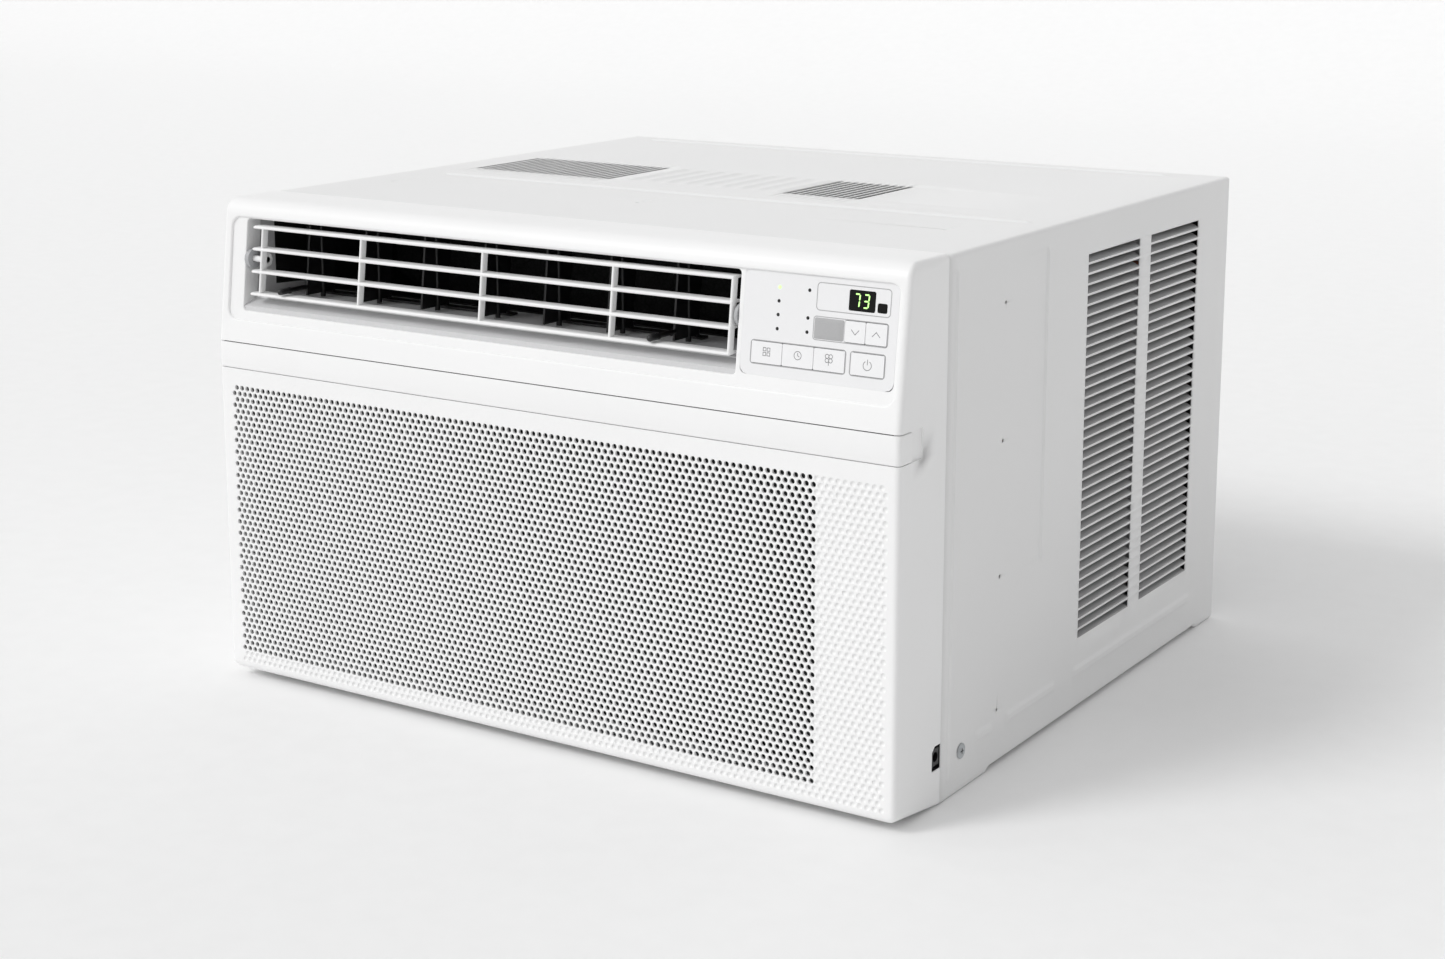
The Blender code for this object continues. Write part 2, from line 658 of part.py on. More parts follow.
def make_vanes():
    for group, places in VANE_X.items():
        lever_at = places[0] if group == "left" else places[-1]
        for number, x in enumerate(places, start=1):
            pieces = [make_vane(group, number, x)]
            if x == lever_at:
                pieces.append(make_lever(group, x))
            axis_empty(f"vane_{group}_{number}_axis", Vector((x, VANE_AXIS_Y, 0.337)), pieces)
        bar = box(f"tie_bar_{group}", (places[0] - 0.006, -0.2250, 0.3042),
                  (places[-1] + 0.006, -0.2160, 0.3057), "dark_plastic")
        cut(bar, boxes(f"tie_slots_{group}", [((x - 0.0018, -0.2232, 0.30), (x + 0.0018, -0.2180, 0.31))
                                              for x in places]))


# ---- indoor side: evaporator, air guide, blower ----
def make_evaporator():
    box("evaporator_coil", (-0.2780, -0.2450, INSIDE_Z), (0.2240, -0.2070, 0.2640), "fin_aluminium")
    for word, low, high in (("left", -0.2798, -0.2783), ("right", 0.2243, 0.2258)):
        box(f"evaporator_end_plate_{word}", (low, -0.2460, INSIDE_Z), (high, -0.2060, 0.2660), "bare_steel")
    cylinder("room_temperature_sensor", 0.060, 0.085, 0.0020, "X", (-0.2490, 0.200), "copper", sides=12)


def scroll_outline():
    """The blower's scroll, opening at the top into a plenum as wide as the outlet."""
    turns = np.radians(np.linspace(150, 390, 25))
    radii = np.linspace(0.103, 0.146, len(turns))
    spiral = [(AXIS_X + r * math.cos(a), AXIS_Z + r * math.sin(a)) for a, r in zip(turns, radii)]
    return spiral + [(0.1695, 0.3040), (0.1695, DUCT_ROOF), (-0.2745, DUCT_ROOF), (-0.2745, 0.3040)]


def make_air_guide():
    guide = box("air_guide", (-0.2785, -0.2030, INSIDE_Z), (0.1735, -0.0950, 0.3740), "foam")
    cut(guide, outline("scroll_space", scroll_outline(), "XZ", -0.1990, -0.0990),
        cylinder("blower_inlet", -0.21, -0.19, 0.080, "Y", (AXIS_X, AXIS_Z), sides=32),
        cylinder("guide_shaft_hole", -0.11, -0.09, 0.012, "Y", (AXIS_X, AXIS_Z), sides=16),
        box("guide_outlet", (-0.2745, -0.21, DUCT_FLOOR), (0.1695, -0.19, DUCT_ROOF)))


def make_blower():
    """A drum of blades: a turned cup with slanted slots cut through its wall."""
    front, back = BLOWER_Y
    inner = BLOWER_RADIUS - 0.010
    bore = SHAFT_RADIUS + 0.0004
    profile = [(bore, back), (bore, back - 0.030), (0.018, back - 0.030), (0.018, back - 0.003),
               (inner, back - 0.003), (inner, front), (BLOWER_RADIUS, front), (BLOWER_RADIUS, back)]
    drum = turned("blower_wheel", profile, "Y", (AXIS_X, AXIS_Z), "dark_plastic", steps=36, closed=True)
    count = 26
    shape = bmesh.new()
    size = Matrix.Diagonal((0.026, back - front - 0.012, 0.0125, 1.0))
    middle = Vector((AXIS_X, (front + back) / 2, AXIS_Z))
    for i in range(count):
        turn = Matrix.Rotation(2 * math.pi * i / count, 4, "Y")
        slant = Matrix.Rotation(math.radians(28), 4, "Y")
        place = Matrix.Translation(middle) @ turn @ Matrix.Translation((BLOWER_RADIUS - 0.004, 0, 0)) @ slant
        bmesh.ops.create_cube(shape, size=1.0, matrix=place @ size)
    cut(drum, add_object("blower_slots", mesh_from(shape, "blower_slots"), None))
    return drum


# ---- fan drive ----
def make_motor():
    """The fan motor: a turned can with a through bore, on an angle bracket; the bulkhead is ahead."""
    bore = SHAFT_RADIUS + 0.0006
    front, back = -0.0880, 0.0180
    profile = [(bore, back + 0.006), (bore, front - 0.002), (0.014, front - 0.002), (0.014, front + 0.008),
               (0.052, front + 0.012), (0.060, front + 0.022), (0.060, back - 0.022), (0.052, back - 0.012),
               (0.014, back - 0.008), (0.014, back + 0.006)]
    turned("fan_motor", profile[::-1], "Y", (AXIS_X, AXIS_Z), "bare_steel", steps=32, closed=True)
    bracket = outline("motor_bracket", [(0.0190, INSIDE_Z), (0.0600, INSIDE_Z), (0.0600, INSIDE_Z + 0.002),
                                        (0.0210, INSIDE_Z + 0.002), (0.0210, 0.250), (0.0190, 0.250)],
                      "YZ", AXIS_X - 0.060, AXIS_X + 0.060, "bare_steel")
    cut(bracket, cylinder("bracket_hole", 0.0, 0.04, 0.020, "Y", (AXIS_X, AXIS_Z), sides=24))
    plate = box("bulkhead", (-0.2900, -0.0942, INSIDE_Z), (0.2620, -0.0917, 0.3740), "bare_steel")
    cut(plate, cylinder("bulkhead_hole", -0.11, -0.08, 0.020, "Y", (AXIS_X, AXIS_Z), sides=24))


def make_condenser_fan():
    """A five-blade fan whose rim is the slinger ring that throws pan water on the condenser."""
    bore = SHAFT_RADIUS + 0.0004
    front, back = FAN_Y
    hub = [(bore, back), (bore, front), (0.030, front), (0.034, front + 0.004), (0.034, back)]
    fan = turned("condenser_fan", hub[::-1], "Y", (AXIS_X, AXIS_Z), "dark_plastic", steps=36, closed=True)
    blades = 5
    shape = bmesh.new()
    root = 0.030
    size = Matrix.Diagonal((FAN_RADIUS - root, 0.0026, 0.062, 1.0))
    middle = Vector((AXIS_X, (front + back) / 2 - 0.002, AXIS_Z))
    for i in range(blades):
        turn = Matrix.Rotation(2 * math.pi * (i + 0.25) / blades, 4, "Y")
        pitch = Matrix.Rotation(math.radians(26), 4, "X")
        outwards = Matrix.Translation(((root + FAN_RADIUS) / 2, 0, 0))
        place = Matrix.Translation(middle) @ turn @ outwards @ pitch
        bmesh.ops.create_cube(shape, size=1.0, matrix=place @ size)
    blade_set = add_object("fan_blades", mesh_from(shape, "fan_blades"), None)
    inner, outer = FAN_RADIUS - 0.003, FAN_RADIUS + 0.003
    ring = [(inner, 0.1620), (inner, 0.1480), (outer, 0.1480), (outer, 0.1620)]
    slinger = turned("slinger_ring", ring[::-1], "Y", (AXIS_X, AXIS_Z), None, steps=36, closed=True)
    unite(fan, blade_set, slinger)
    return fan


def make_fan_group():
    shaft = cylinder("fan_shaft", -0.1500, 0.1700, SHAFT_RADIUS, "Y", (AXIS_X, AXIS_Z),
                     "bare_steel", sides=16)
    pieces = [shaft, make_blower(), make_condenser_fan()]
    axis_empty("fan_axis", Vector((AXIS_X, 0.0, AXIS_Z)), pieces)


# ---- outdoor side: shroud, condenser, compressor, pipes ----
def make_condenser_side():
    low, high = (-0.2880, 0.1500, INSIDE_Z), (0.2600, 0.2280, 0.3740)
    shroud = box("fan_shroud", low, high, "bare_steel")
    cut(shroud, box("shroud_inside", (low[0] + SHEET, low[1] + 0.002, low[2] + SHEET),
                    (high[0] - SHEET, high[1] + 0.01, high[2] - SHEET)),
        cylinder("shroud_hole", 0.14, 0.16, FAN_RADIUS + 0.0065, "Y", (AXIS_X, AXIS_Z), sides=36))
    box("condenser_coil", (-0.2850, 0.2290, INSIDE_Z), (0.2600, 0.2660, 0.3700), "fin_aluminium")
    for word, x in (("left", -0.2868), ("right", 0.2603)):
        box(f"condenser_end_plate_{word}", (x, 0.2285, INSIDE_Z), (x + 0.0015, 0.2670, 0.3720), "bare_steel")


def make_compressor():
    x, y = COMPRESSOR_AT
    shell = [(0.0, 0.2900)] + [(0.062 * math.cos(a), 0.262 + 0.028 * math.sin(a))
                               for a in np.radians(np.linspace(75, 0, 6))]
    shell += [(0.062, 0.070), (0.052, 0.056), (0.052, 0.0520),
              (0.074, 0.0520), (0.074, 0.0495), (0.0, 0.0495)]
    turned("compressor", shell, "Z", (x, y), "black_enamel", steps=28)
    foot = [(0.0, 0.0490), (0.008, 0.0490), (0.010, 0.0400), (0.008, 0.0300), (0.012, 0.0085), (0.0, 0.0085)]
    for number in range(3):
        angle = math.radians(90 + 120 * number)
        at = (x + 0.062 * math.cos(angle), y + 0.062 * math.sin(angle))
        turned(f"compressor_grommet_{number + 1}", foot, "Z", at, "rubber", steps=12)
    bottle = [(0.0, 0.2480), (0.006, 0.2480), (0.019, 0.2360),
              (0.019, 0.1100), (0.008, 0.0980), (0.0, 0.0980)]
    turned("accumulator", bottle, "Z", (0.2685, y), "black_enamel", steps=16)


def make_pipes():
    y = COMPRESSOR_AT[1]
    suction = [(0.2264, -0.226, 0.215), (0.250, -0.226, 0.215), (0.272, -0.212, 0.217), (0.278, -0.170, 0.222),
               (0.278, -0.090, 0.230), (0.277, -0.020, 0.262), (0.2700, 0.024, 0.275), (0.2685, y, 0.2600),
               (0.2685, y, 0.2490)]
    tube("suction_pipe", smooth_path(suction), 0.0048, "copper")
    top = 0.2906
    discharge = [(0.185, y, top), (0.185, y, top + 0.022), (0.192, y + 0.024, top + 0.040), (0.225, 0.090, 0.330),
                 (0.268, 0.130, 0.322), (0.277, 0.190, 0.318), (0.2765, 0.234, 0.316),
                 (0.270, 0.246, 0.316), (0.2625, 0.248, 0.316)]
    tube("discharge_pipe", smooth_path(discharge), 0.0036, "copper")
    turns = np.linspace(0, 4 * math.pi, 25)
    coil = [(0.232 + 0.020 * math.cos(a), -0.055 + 0.020 * math.sin(a), 0.280 + 0.0045 * a / math.pi)
            for a in turns]
    lead = smooth_path([(0.2625, 0.250, 0.060), (0.272, 0.248, 0.060), (0.279, 0.236, 0.060),
                        (0.279, 0.150, 0.066), (0.282, 0.060, 0.070), (0.280, -0.010, 0.100),
                        (0.262, -0.062, 0.180), (0.2535, -0.072, 0.250), coil[0]], 3)
    away = smooth_path([coil[-1], (0.2530, -0.040, 0.306), (0.2640, -0.040, 0.308), (0.2680, -0.070, 0.290),
                        (0.2680, -0.120, 0.190), (0.262, -0.190, 0.090), (0.246, -0.226, 0.080),
                        (0.2264, -0.226, 0.080)], 3)
    tube("capillary_tube", lead[:-1] + coil + away[1:], 0.0013, "copper", 1)


def main():
    make_cabinet()
    make_base_pan()
    make_front_housing()
    make_control_panel()
    make_control_box()
    make_cord_gland()
    make_filter()
    make_outlet_duct()
    make_louvre_grid()
    make_vanes()
    make_evaporator()
    make_air_guide()
    make_motor()
    make_fan_group()
    make_condenser_side()
    make_compressor()
    make_pipes()


main()
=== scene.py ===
import math
import bmesh
import bpy
import numpy as np
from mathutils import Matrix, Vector


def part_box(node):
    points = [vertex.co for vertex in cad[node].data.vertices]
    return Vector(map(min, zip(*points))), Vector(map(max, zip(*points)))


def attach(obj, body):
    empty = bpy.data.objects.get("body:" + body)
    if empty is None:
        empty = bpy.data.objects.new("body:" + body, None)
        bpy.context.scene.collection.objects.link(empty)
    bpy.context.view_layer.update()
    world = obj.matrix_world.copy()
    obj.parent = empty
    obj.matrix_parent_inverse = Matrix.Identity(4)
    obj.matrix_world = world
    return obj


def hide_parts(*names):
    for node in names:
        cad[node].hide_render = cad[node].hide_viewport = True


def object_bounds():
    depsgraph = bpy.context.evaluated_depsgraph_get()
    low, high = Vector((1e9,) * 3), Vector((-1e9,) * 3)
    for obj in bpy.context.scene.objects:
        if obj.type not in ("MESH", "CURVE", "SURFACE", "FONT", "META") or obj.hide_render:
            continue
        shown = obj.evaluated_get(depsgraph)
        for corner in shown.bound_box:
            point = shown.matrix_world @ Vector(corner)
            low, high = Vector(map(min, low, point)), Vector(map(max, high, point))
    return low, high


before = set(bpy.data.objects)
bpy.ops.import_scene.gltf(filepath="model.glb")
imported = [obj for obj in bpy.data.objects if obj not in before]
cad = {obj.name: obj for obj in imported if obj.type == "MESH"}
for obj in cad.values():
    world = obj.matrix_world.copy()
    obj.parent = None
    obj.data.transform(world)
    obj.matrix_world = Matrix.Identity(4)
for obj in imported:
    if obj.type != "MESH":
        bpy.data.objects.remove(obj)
cadLow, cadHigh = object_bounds()  # box of the CAD model
print("frame loaded,", len(cad), "CAD nodes")


# ---- camera ----
cameraSetup = {"lens": 58.23, "sensor": 36.0, "place": (0.989, -1.5555, 0.612), "tilt": 78.83, "turn": 32.92,
               "shiftUp": -0.09}


def makeCamera(setup):
    lensData = bpy.data.cameras.new("camera")
    lensData.lens = setup["lens"]
    lensData.sensor_width = setup["sensor"]
    lensData.shift_y = setup["shiftUp"]
    camera = bpy.data.objects.new("camera", lensData)
    camera.location = setup["place"]
    camera.rotation_euler = (math.radians(setup["tilt"]), 0.0, math.radians(setup["turn"]))
    bpy.context.scene.collection.objects.link(camera)
    bpy.context.scene.camera = camera


makeCamera(cameraSetup)


# ---- node materials ----
def toLinear(hexColour):
    parts = [int(hexColour[i:i + 2], 16) / 255 for i in (1, 3, 5)]
    return tuple(c / 12.92 if c <= 0.04045 else ((c + 0.055) / 1.055) ** 2.4 for c in parts) + (1.0,)


# adds one node; words that name a property set it, other words and numbers name an input
def addNode(tree, kind, settings=None, links=None):
    node = tree.nodes.new(kind)
    for word, value in (settings or {}).items():
        if isinstance(word, str) and hasattr(node, word):
            setattr(node, word, value)
        else:
            node.inputs[word].default_value = value
    for socket, source in (links or {}).items():
        tree.links.new(source, node.inputs[socket])
    return node


def startMaterial(name, shaderSettings):
    finish = bpy.data.materials.new(name)
    finish.use_nodes = True
    tree = finish.node_tree
    tree.nodes.clear()
    shader = addNode(tree, "ShaderNodeBsdfPrincipled", shaderSettings)
    addNode(tree, "ShaderNodeOutputMaterial", {}, {"Surface": shader.outputs[0]})
    place = addNode(tree, "ShaderNodeTexCoord").outputs["Object"]
    return finish, tree, shader, place


# two tones mixed by share; gloss is (least roughness, most roughness, source) and relief is
# (strength, depth, source)
def applyLook(tree, shader, light, deep, share, gloss=None, relief=None):
    tones = {"data_type": "RGBA", 6: toLinear(light), 7: toLinear(deep)}
    colour = addNode(tree, "ShaderNodeMix", tones, {0: share})
    tree.links.new(colour.outputs[2], shader.inputs["Base Color"])
    if gloss:
        rough = addNode(tree, "ShaderNodeMapRange", {3: gloss[0], 4: gloss[1]}, {0: gloss[2]})
        tree.links.new(rough.outputs[0], shader.inputs["Roughness"])
    if relief:
        strength, distance, height = relief
        settings = {"Strength": strength, "Distance": distance}
        bump = addNode(tree, "ShaderNodeBump", settings, {"Height": height})
        tree.links.new(bump.outputs[0], shader.inputs["Normal"])


# Injection-moulded thermoplastic: an even body colour with faint flow clouds 90 mm across, and a spark-eroded
# grain that breaks up the gloss. The real grain is about 0.15 mm; it is drawn coarser so that it shows.
def mouldedPlastic(name, look):
    finish, tree, shader, place = startMaterial(name, {"IOR": 1.53})
    clouds = addNode(tree, "ShaderNodeTexNoise", {"Scale": 1 / 0.09, "Detail": 3.0}, {"Vector": place})
    grain = addNode(tree, "ShaderNodeTexNoise", {"Scale": 1 / look["grain"], "Detail": 2.0},
                    {"Vector": place})
    applyLook(tree, shader, look["light"], look["deep"], clouds.outputs["Fac"],
              (look["rough"] - 0.05, look["rough"] + 0.07, grain.outputs["Fac"]),
              (0.35, look["depth"], grain.outputs["Fac"]))
    return finish


plastics = {
    "white": {"light": "#F8F8F8", "deep": "#F4F4F4", "rough": 0.42, "grain": 0.0012, "depth": 0.00003},
    "fascia": {"light": "#F1F1F2", "deep": "#EDEDEE", "rough": 0.50, "grain": 0.0008, "depth": 0.00002},
    "key": {"light": "#F4F4F5", "deep": "#F0F0F1", "rough": 0.46, "grain": 0.0008, "depth": 0.00002},
    "grey": {"light": "#B9BABC", "deep": "#ABACAE", "rough": 0.50, "grain": 0.0012, "depth": 0.00004},
    "black": {"light": "#1A1A1B", "deep": "#101011", "rough": 0.38, "grain": 0.0011, "depth": 0.00003},
}
whiteAbs = mouldedPlastic("moulded_white_abs", plastics["white"])
fasciaAbs = mouldedPlastic("moulded_fascia_abs", plastics["fascia"])
keyAbs = mouldedPlastic("moulded_key_abs", plastics["key"])
greyPolypropylene = mouldedPlastic("moulded_grey_polypropylene", plastics["grey"])
blackAbs = mouldedPlastic("moulded_black_abs", plastics["black"])


# Polyester powder coat baked on sheet steel: soft sheen with an orange-peel skin about 1.5 mm across.
def powderCoat(name, look):
    settings = {"IOR": 1.5, "Coat Weight": 0.08, "Coat Roughness": 0.3}
    finish, tree, shader, place = startMaterial(name, settings)
    peel = addNode(tree, "ShaderNodeTexNoise", {"Scale": 1 / look["peel"], "Detail": 1.0}, {"Vector": place})
    speck = addNode(tree, "ShaderNodeTexNoise", {"Scale": 1 / 0.0006, "Detail": 2.0}, {"Vector": place})
    cast = addNode(tree, "ShaderNodeTexNoise", {"Scale": 6.0, "Detail": 2.0}, {"Vector": place})
    applyLook(tree, shader, look["light"], look["deep"], cast.outputs["Fac"],
              (look["rough"] - 0.05, look["rough"] + 0.08, speck.outputs["Fac"]),
              (0.3, 0.00005, peel.outputs["Fac"]))
    return finish


# the louvre blades get a greyer coat: painted shade for blades lying under the strip above
coats = {
    "cabinet": {"light": "#EEEEEE", "deep": "#EAEAEA", "rough": 0.42, "peel": 0.0015},
    "thin": {"light": "#A6A6A7", "deep": "#9C9C9D", "rough": 0.48, "peel": 0.0015},
    "enamel": {"light": "#141416", "deep": "#0C0C0D", "rough": 0.30, "peel": 0.0020},
}
powderCoatedSteel = powderCoat("powder_coated_steel", coats["cabinet"])
thinCoatedSteel = powderCoat("thinly_coated_louvre_steel", coats["thin"])
blackEnamel = powderCoat("baked_black_enamel", coats["enamel"])


# Hot-dip galvanised sheet: crystals of zinc 4 to 8 mm across, each turning the light a little differently.
def galvanisedSheet(spangle=0.006):
    finish, tree, shader, place = startMaterial("galvanised_sheet_steel", {"Metallic": 1.0})
    crystals = addNode(tree, "ShaderNodeTexVoronoi", {"Scale": 1 / spangle}, {"Vector": place})
    tone = addNode(tree, "ShaderNodeRGBToBW", {}, {0: crystals.outputs["Color"]})
    grain = addNode(tree, "ShaderNodeTexNoise", {"Scale": 1 / 0.0007}, {"Vector": place})
    applyLook(tree, shader, "#A9ADB0", "#C9CCCE", tone.outputs[0], (0.32, 0.52, tone.outputs[0]),
              (0.2, 0.00003, grain.outputs["Fac"]))
    return finish


# Rolled fin stock: bright aluminium foil with fine rolling lines and a faint blue-grey coating.
def rolledAluminium():
    finish, tree, shader, place = startMaterial("rolled_fin_aluminium", {"Metallic": 1.0})
    stretched = addNode(tree, "ShaderNodeMapping", {"Scale": (1.0, 1.0, 0.03)}, {"Vector": place})
    lines = addNode(tree, "ShaderNodeTexNoise", {"Scale": 1 / 0.0009, "Detail": 3.0},
                    {"Vector": stretched.outputs[0]})
    applyLook(tree, shader, "#C4C9CD", "#DDE0E2", lines.outputs["Fac"], (0.28, 0.48, lines.outputs["Fac"]))
    return finish


# Expanded polystyrene: beads about 3.5 mm across pressed together, with dark lines where they meet.
def expandedPolystyrene(beadSize=0.0035):
    finish, tree, shader, place = startMaterial("expanded_polystyrene", {"Roughness": 0.8})
    beads = addNode(tree, "ShaderNodeTexVoronoi", {"feature": "DISTANCE_TO_EDGE", "Scale": 1 / beadSize},
                    {"Vector": place})
    joint = addNode(tree, "ShaderNodeMapRange", {1: 0.0, 2: 0.12, 3: 0.0, 4: 1.0},
                    {0: beads.outputs["Distance"]})
    applyLook(tree, shader, "#0E0E0E", "#242425", joint.outputs[0], None, (0.5, 0.0002, joint.outputs[0]))
    return finish


# Woven polypropylene filter net: crossed threads, 1.1 mm apart, darker in the gaps.
def wovenNet(spacing=0.0011):
    finish, tree, shader, place = startMaterial("woven_filter_net", {"Roughness": 0.7})
    across, upward = (addNode(tree, "ShaderNodeTexWave", {"bands_direction": axis, "Scale": 0.3142 / spacing},
                              {"Vector": place}).outputs["Fac"] for axis in "XZ")
    thread = addNode(tree, "ShaderNodeMath", {"operation": "MAXIMUM"}, {0: across, 1: upward})
    shown = addNode(tree, "ShaderNodeMapRange", {1: 0.55, 2: 0.85, 3: 0.0, 4: 1.0}, {0: thread.outputs[0]})
    applyLook(tree, shader, "#0B0B0C", "#3A3C3F", shown.outputs[0], None, (0.6, 0.0003, shown.outputs[0]))
    return finish


# Epoxy-glass board under green solder mask: rows of tinned pads 2.5 mm apart.
def solderMask(padPitch=0.0025):
    finish, tree, shader, place = startMaterial("solder_masked_board", {"Roughness": 0.35})
    pads = addNode(tree, "ShaderNodeTexVoronoi", {"Scale": 1 / padPitch, "Randomness": 0.25},
                   {"Vector": place})
    shown = addNode(tree, "ShaderNodeMapRange", {1: 0.16, 2: 0.2, 3: 1.0, 4: 0.0},
                    {0: pads.outputs["Distance"]})
    applyLook(tree, shader, "#1D6B3C", "#C9CCC4", shown.outputs[0])
    tree.links.new(shown.outputs[0], shader.inputs["Metallic"])
    return finish


# A finish that one noise drives: size is its grain in metres; gloss and relief are as for applyLook, less the
# source.
def grainedFinish(name, settings, size, detail, tones, gloss=None, relief=None):
    finish, tree, shader, place = startMaterial(name, settings)
    noise = addNode(tree, "ShaderNodeTexNoise", {"Scale": 1 / size, "Detail": detail}, {"Vector": place})
    grain = noise.outputs["Fac"]
    applyLook(tree, shader, *tones, grain, gloss and (*gloss, grain), relief and (*relief, grain))
    return finish


# Air duct: a grey moulding that turns near black from a set depth inwards. The black is partly its foam
# lining and partly painted shade deep in the duct. Low down, below floorZ, the grey runs floorMore further,
# so the floor seen over the lowest slat stays light.
ductLiningAndShade = {"foamAndShadeY": -0.2390, "floorZ": (0.3085, 0.3105), "floorMore": 0.034, "edge": 0.0003}


def linedAndShadedMoulding():
    finish, tree, shader, place = startMaterial("foam_lined_duct_painted_shade", {"Roughness": 0.6})
    foamAndShadeY, edge, (floorZ, wallZ) = ductLiningAndShade["foamAndShadeY"], ductLiningAndShade["edge"], ductLiningAndShade["floorZ"]
    depth = addNode(tree, "ShaderNodeSeparateXYZ", {}, {0: place})
    onFloor = addNode(tree, "ShaderNodeMapRange", {1: floorZ, 2: wallZ, 3: ductLiningAndShade["floorMore"], 4: 0.0},
                      {0: depth.outputs["Z"]})
    past = addNode(tree, "ShaderNodeMath", {"operation": "SUBTRACT"},
                   {0: depth.outputs["Y"], 1: onFloor.outputs[0]})
    linedAndShaded = addNode(tree, "ShaderNodeMapRange", {1: foamAndShadeY - edge, 2: foamAndShadeY + edge, 3: 0.0, 4: 1.0},
                    {0: past.outputs[0]})
    cells = addNode(tree, "ShaderNodeTexNoise", {"Scale": 1 / 0.0015, "Detail": 3.0}, {"Vector": place})
    applyLook(tree, shader, "#D8D8D9", "#CFCFD0", cells.outputs["Fac"], None,
              (0.4, 0.0002, cells.outputs["Fac"]))
    grey = shader.inputs["Base Color"].links[0].from_socket
    # near-black tone deep in the duct: foam colour and painted shade together
    tones = {"data_type": "RGBA", 6: toLinear("#0B0B0B"), 7: toLinear("#1A1A1A")}
    foam = addNode(tree, "ShaderNodeMix", tones, {0: cells.outputs["Fac"]})
    colour = addNode(tree, "ShaderNodeMix", {"data_type": "RGBA"},
                     {0: linedAndShaded.outputs[0], 6: grey, 7: foam.outputs[2]})
    tree.links.new(colour.outputs[2], shader.inputs["Base Color"])
    return finish


galvanisedSteel = galvanisedSheet()
linedAndShadedDuct = linedAndShadedMoulding()
finAluminium = rolledAluminium()
polystyrene = expandedPolystyrene()
filterNet = wovenNet()
boardGreen = solderMask()
# drawn tube, slightly browned by brazing heat in soft patches
copperTube = grainedFinish("drawn_copper_tube", {"Metallic": 1.0}, 0.03, 4.0, ("#C9825B", "#8E5236"),
                           gloss=(0.22, 0.45))
# matt black nitrile rubber with a faint grey bloom
rubber = grainedFinish("moulded_rubber", {"Roughness": 0.75}, 0.006, 4.0, ("#1B1B1B", "#2E2E2D"),
                       relief=(0.3, 0.00005))
# near black and polished, with the faintest haze of wiping marks
acrylic = grainedFinish("tinted_acrylic", {"IOR": 1.49, "Specular IOR Level": 0.25}, 0.004, 4.0,
                        ("#020302", "#060706"), gloss=(0.08, 0.2))
# screen-printed inks are flat, slightly uneven where the screen lifted
inks = {"grey_screen_ink": ("#B4B4B5", "#ADADAE"), "dark_grey_screen_ink": ("#939394", "#8A8A8C"),
        "black_lamp_lens": ("#0E0E0E", "#070707")}
greyInk, markInk, blackInk = (grainedFinish(name, {"Roughness": 0.55}, 0.0012, 3.0, tones)
                              for name, tones in inks.items())
# light-emitting segment behind its diffuser: yellow-green, a little brighter at the middle
litGreen = grainedFinish("lit_green_diffuser", {"Roughness": 0.4, "Emission Color": toLinear("#B4EE8C"),
                                                "Emission Strength": 1.1}, 0.002, 1.0, ("#9BE86B", "#C9FF9E"))
print("materials made")


# ---- surfaces ----
# faces of a grid of rows by columns points; keep is a row-by-column mask of the cells to use
def gridQuads(rows, columns, closedRows, closedColumns, keep):
    index = np.arange(rows * columns).reshape(rows, columns)
    if closedRows:
        index = np.vstack([index, index[:1]])
    if closedColumns:
        index = np.hstack([index, index[:, :1]])
    quads = np.stack([index[:-1, :-1], index[1:, :-1], index[1:, 1:], index[:-1, 1:]], -1)
    return (quads if keep is None else quads[keep]).reshape(-1, 4)


def patch(points, closedRows=False, closedColumns=False, keep=None, flip=False):
    points = np.asarray(points, float)
    quads = gridQuads(points.shape[0], points.shape[1], closedRows, closedColumns, keep)
    return points.reshape(-1, 3), quads[:, ::-1] if flip else quads


def makePiece(name, patches, finish, body, replaced=(), sharp=35, wall=0.0, turnOut=False):
    starts = np.cumsum([0] + [len(points) for points, quads in patches])
    points = np.concatenate([points for points, quads in patches])
    quads = np.concatenate([quads + start for (_, quads), start in zip(patches, starts)]).astype(np.int32)
    mesh = bpy.data.meshes.new(name)
    mesh.vertices.add(len(points))
    mesh.vertices.foreach_set("co", points.ravel())
    mesh.loops.add(quads.size)
    mesh.loops.foreach_set("vertex_index", quads.ravel())
    mesh.polygons.add(len(quads))
    mesh.polygons.foreach_set("loop_start", np.arange(0, quads.size, 4, dtype=np.int32))
    mesh.update(calc_edges=True)
    shape = bmesh.new()
    shape.from_mesh(mesh)
    bmesh.ops.remove_doubles(shape, verts=shape.verts, dist=0.00002)
    if turnOut:
        bmesh.ops.recalc_face_normals(shape, faces=shape.faces)
    shape.to_mesh(mesh)
    shape.free()
    mesh.shade_smooth()
    mesh.set_sharp_from_angle(angle=math.radians(sharp))
    mesh.materials.append(finish)
    piece = bpy.data.objects.new(name, mesh)
    bpy.context.scene.collection.objects.link(piece)
    if wall:
        thicken = piece.modifiers.new("sheet_thickness", "SOLIDIFY")
        thicken.thickness = wall
        thicken.offset = -1.0
    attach(piece, body)
    if replaced:
        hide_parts(*replaced)
    return piece


# turned shape: radius and distance along the axis for each ring, carried round the axis
def turned(profile, centre, axis, steps, sideways=None):
    profile = np.asarray(profile, float)
    axis = np.asarray(axis, float) / np.linalg.norm(axis)
    first = np.cross(axis, (0.0, 0.0, 1.0) if abs(axis[2]) < 0.9 else (1.0, 0.0, 0.0))
    first /= np.linalg.norm(first)
    second = np.cross(axis, first)
    turn = np.linspace(0, 2 * np.pi, steps, endpoint=False)
    spokes = np.cos(turn)[None, :, None] * first + np.sin(turn)[None, :, None] * second
    points = np.asarray(centre) + profile[:, 1, None, None] * axis + profile[:, 0, None, None] * spokes
    return patch(points, closedColumns=True)


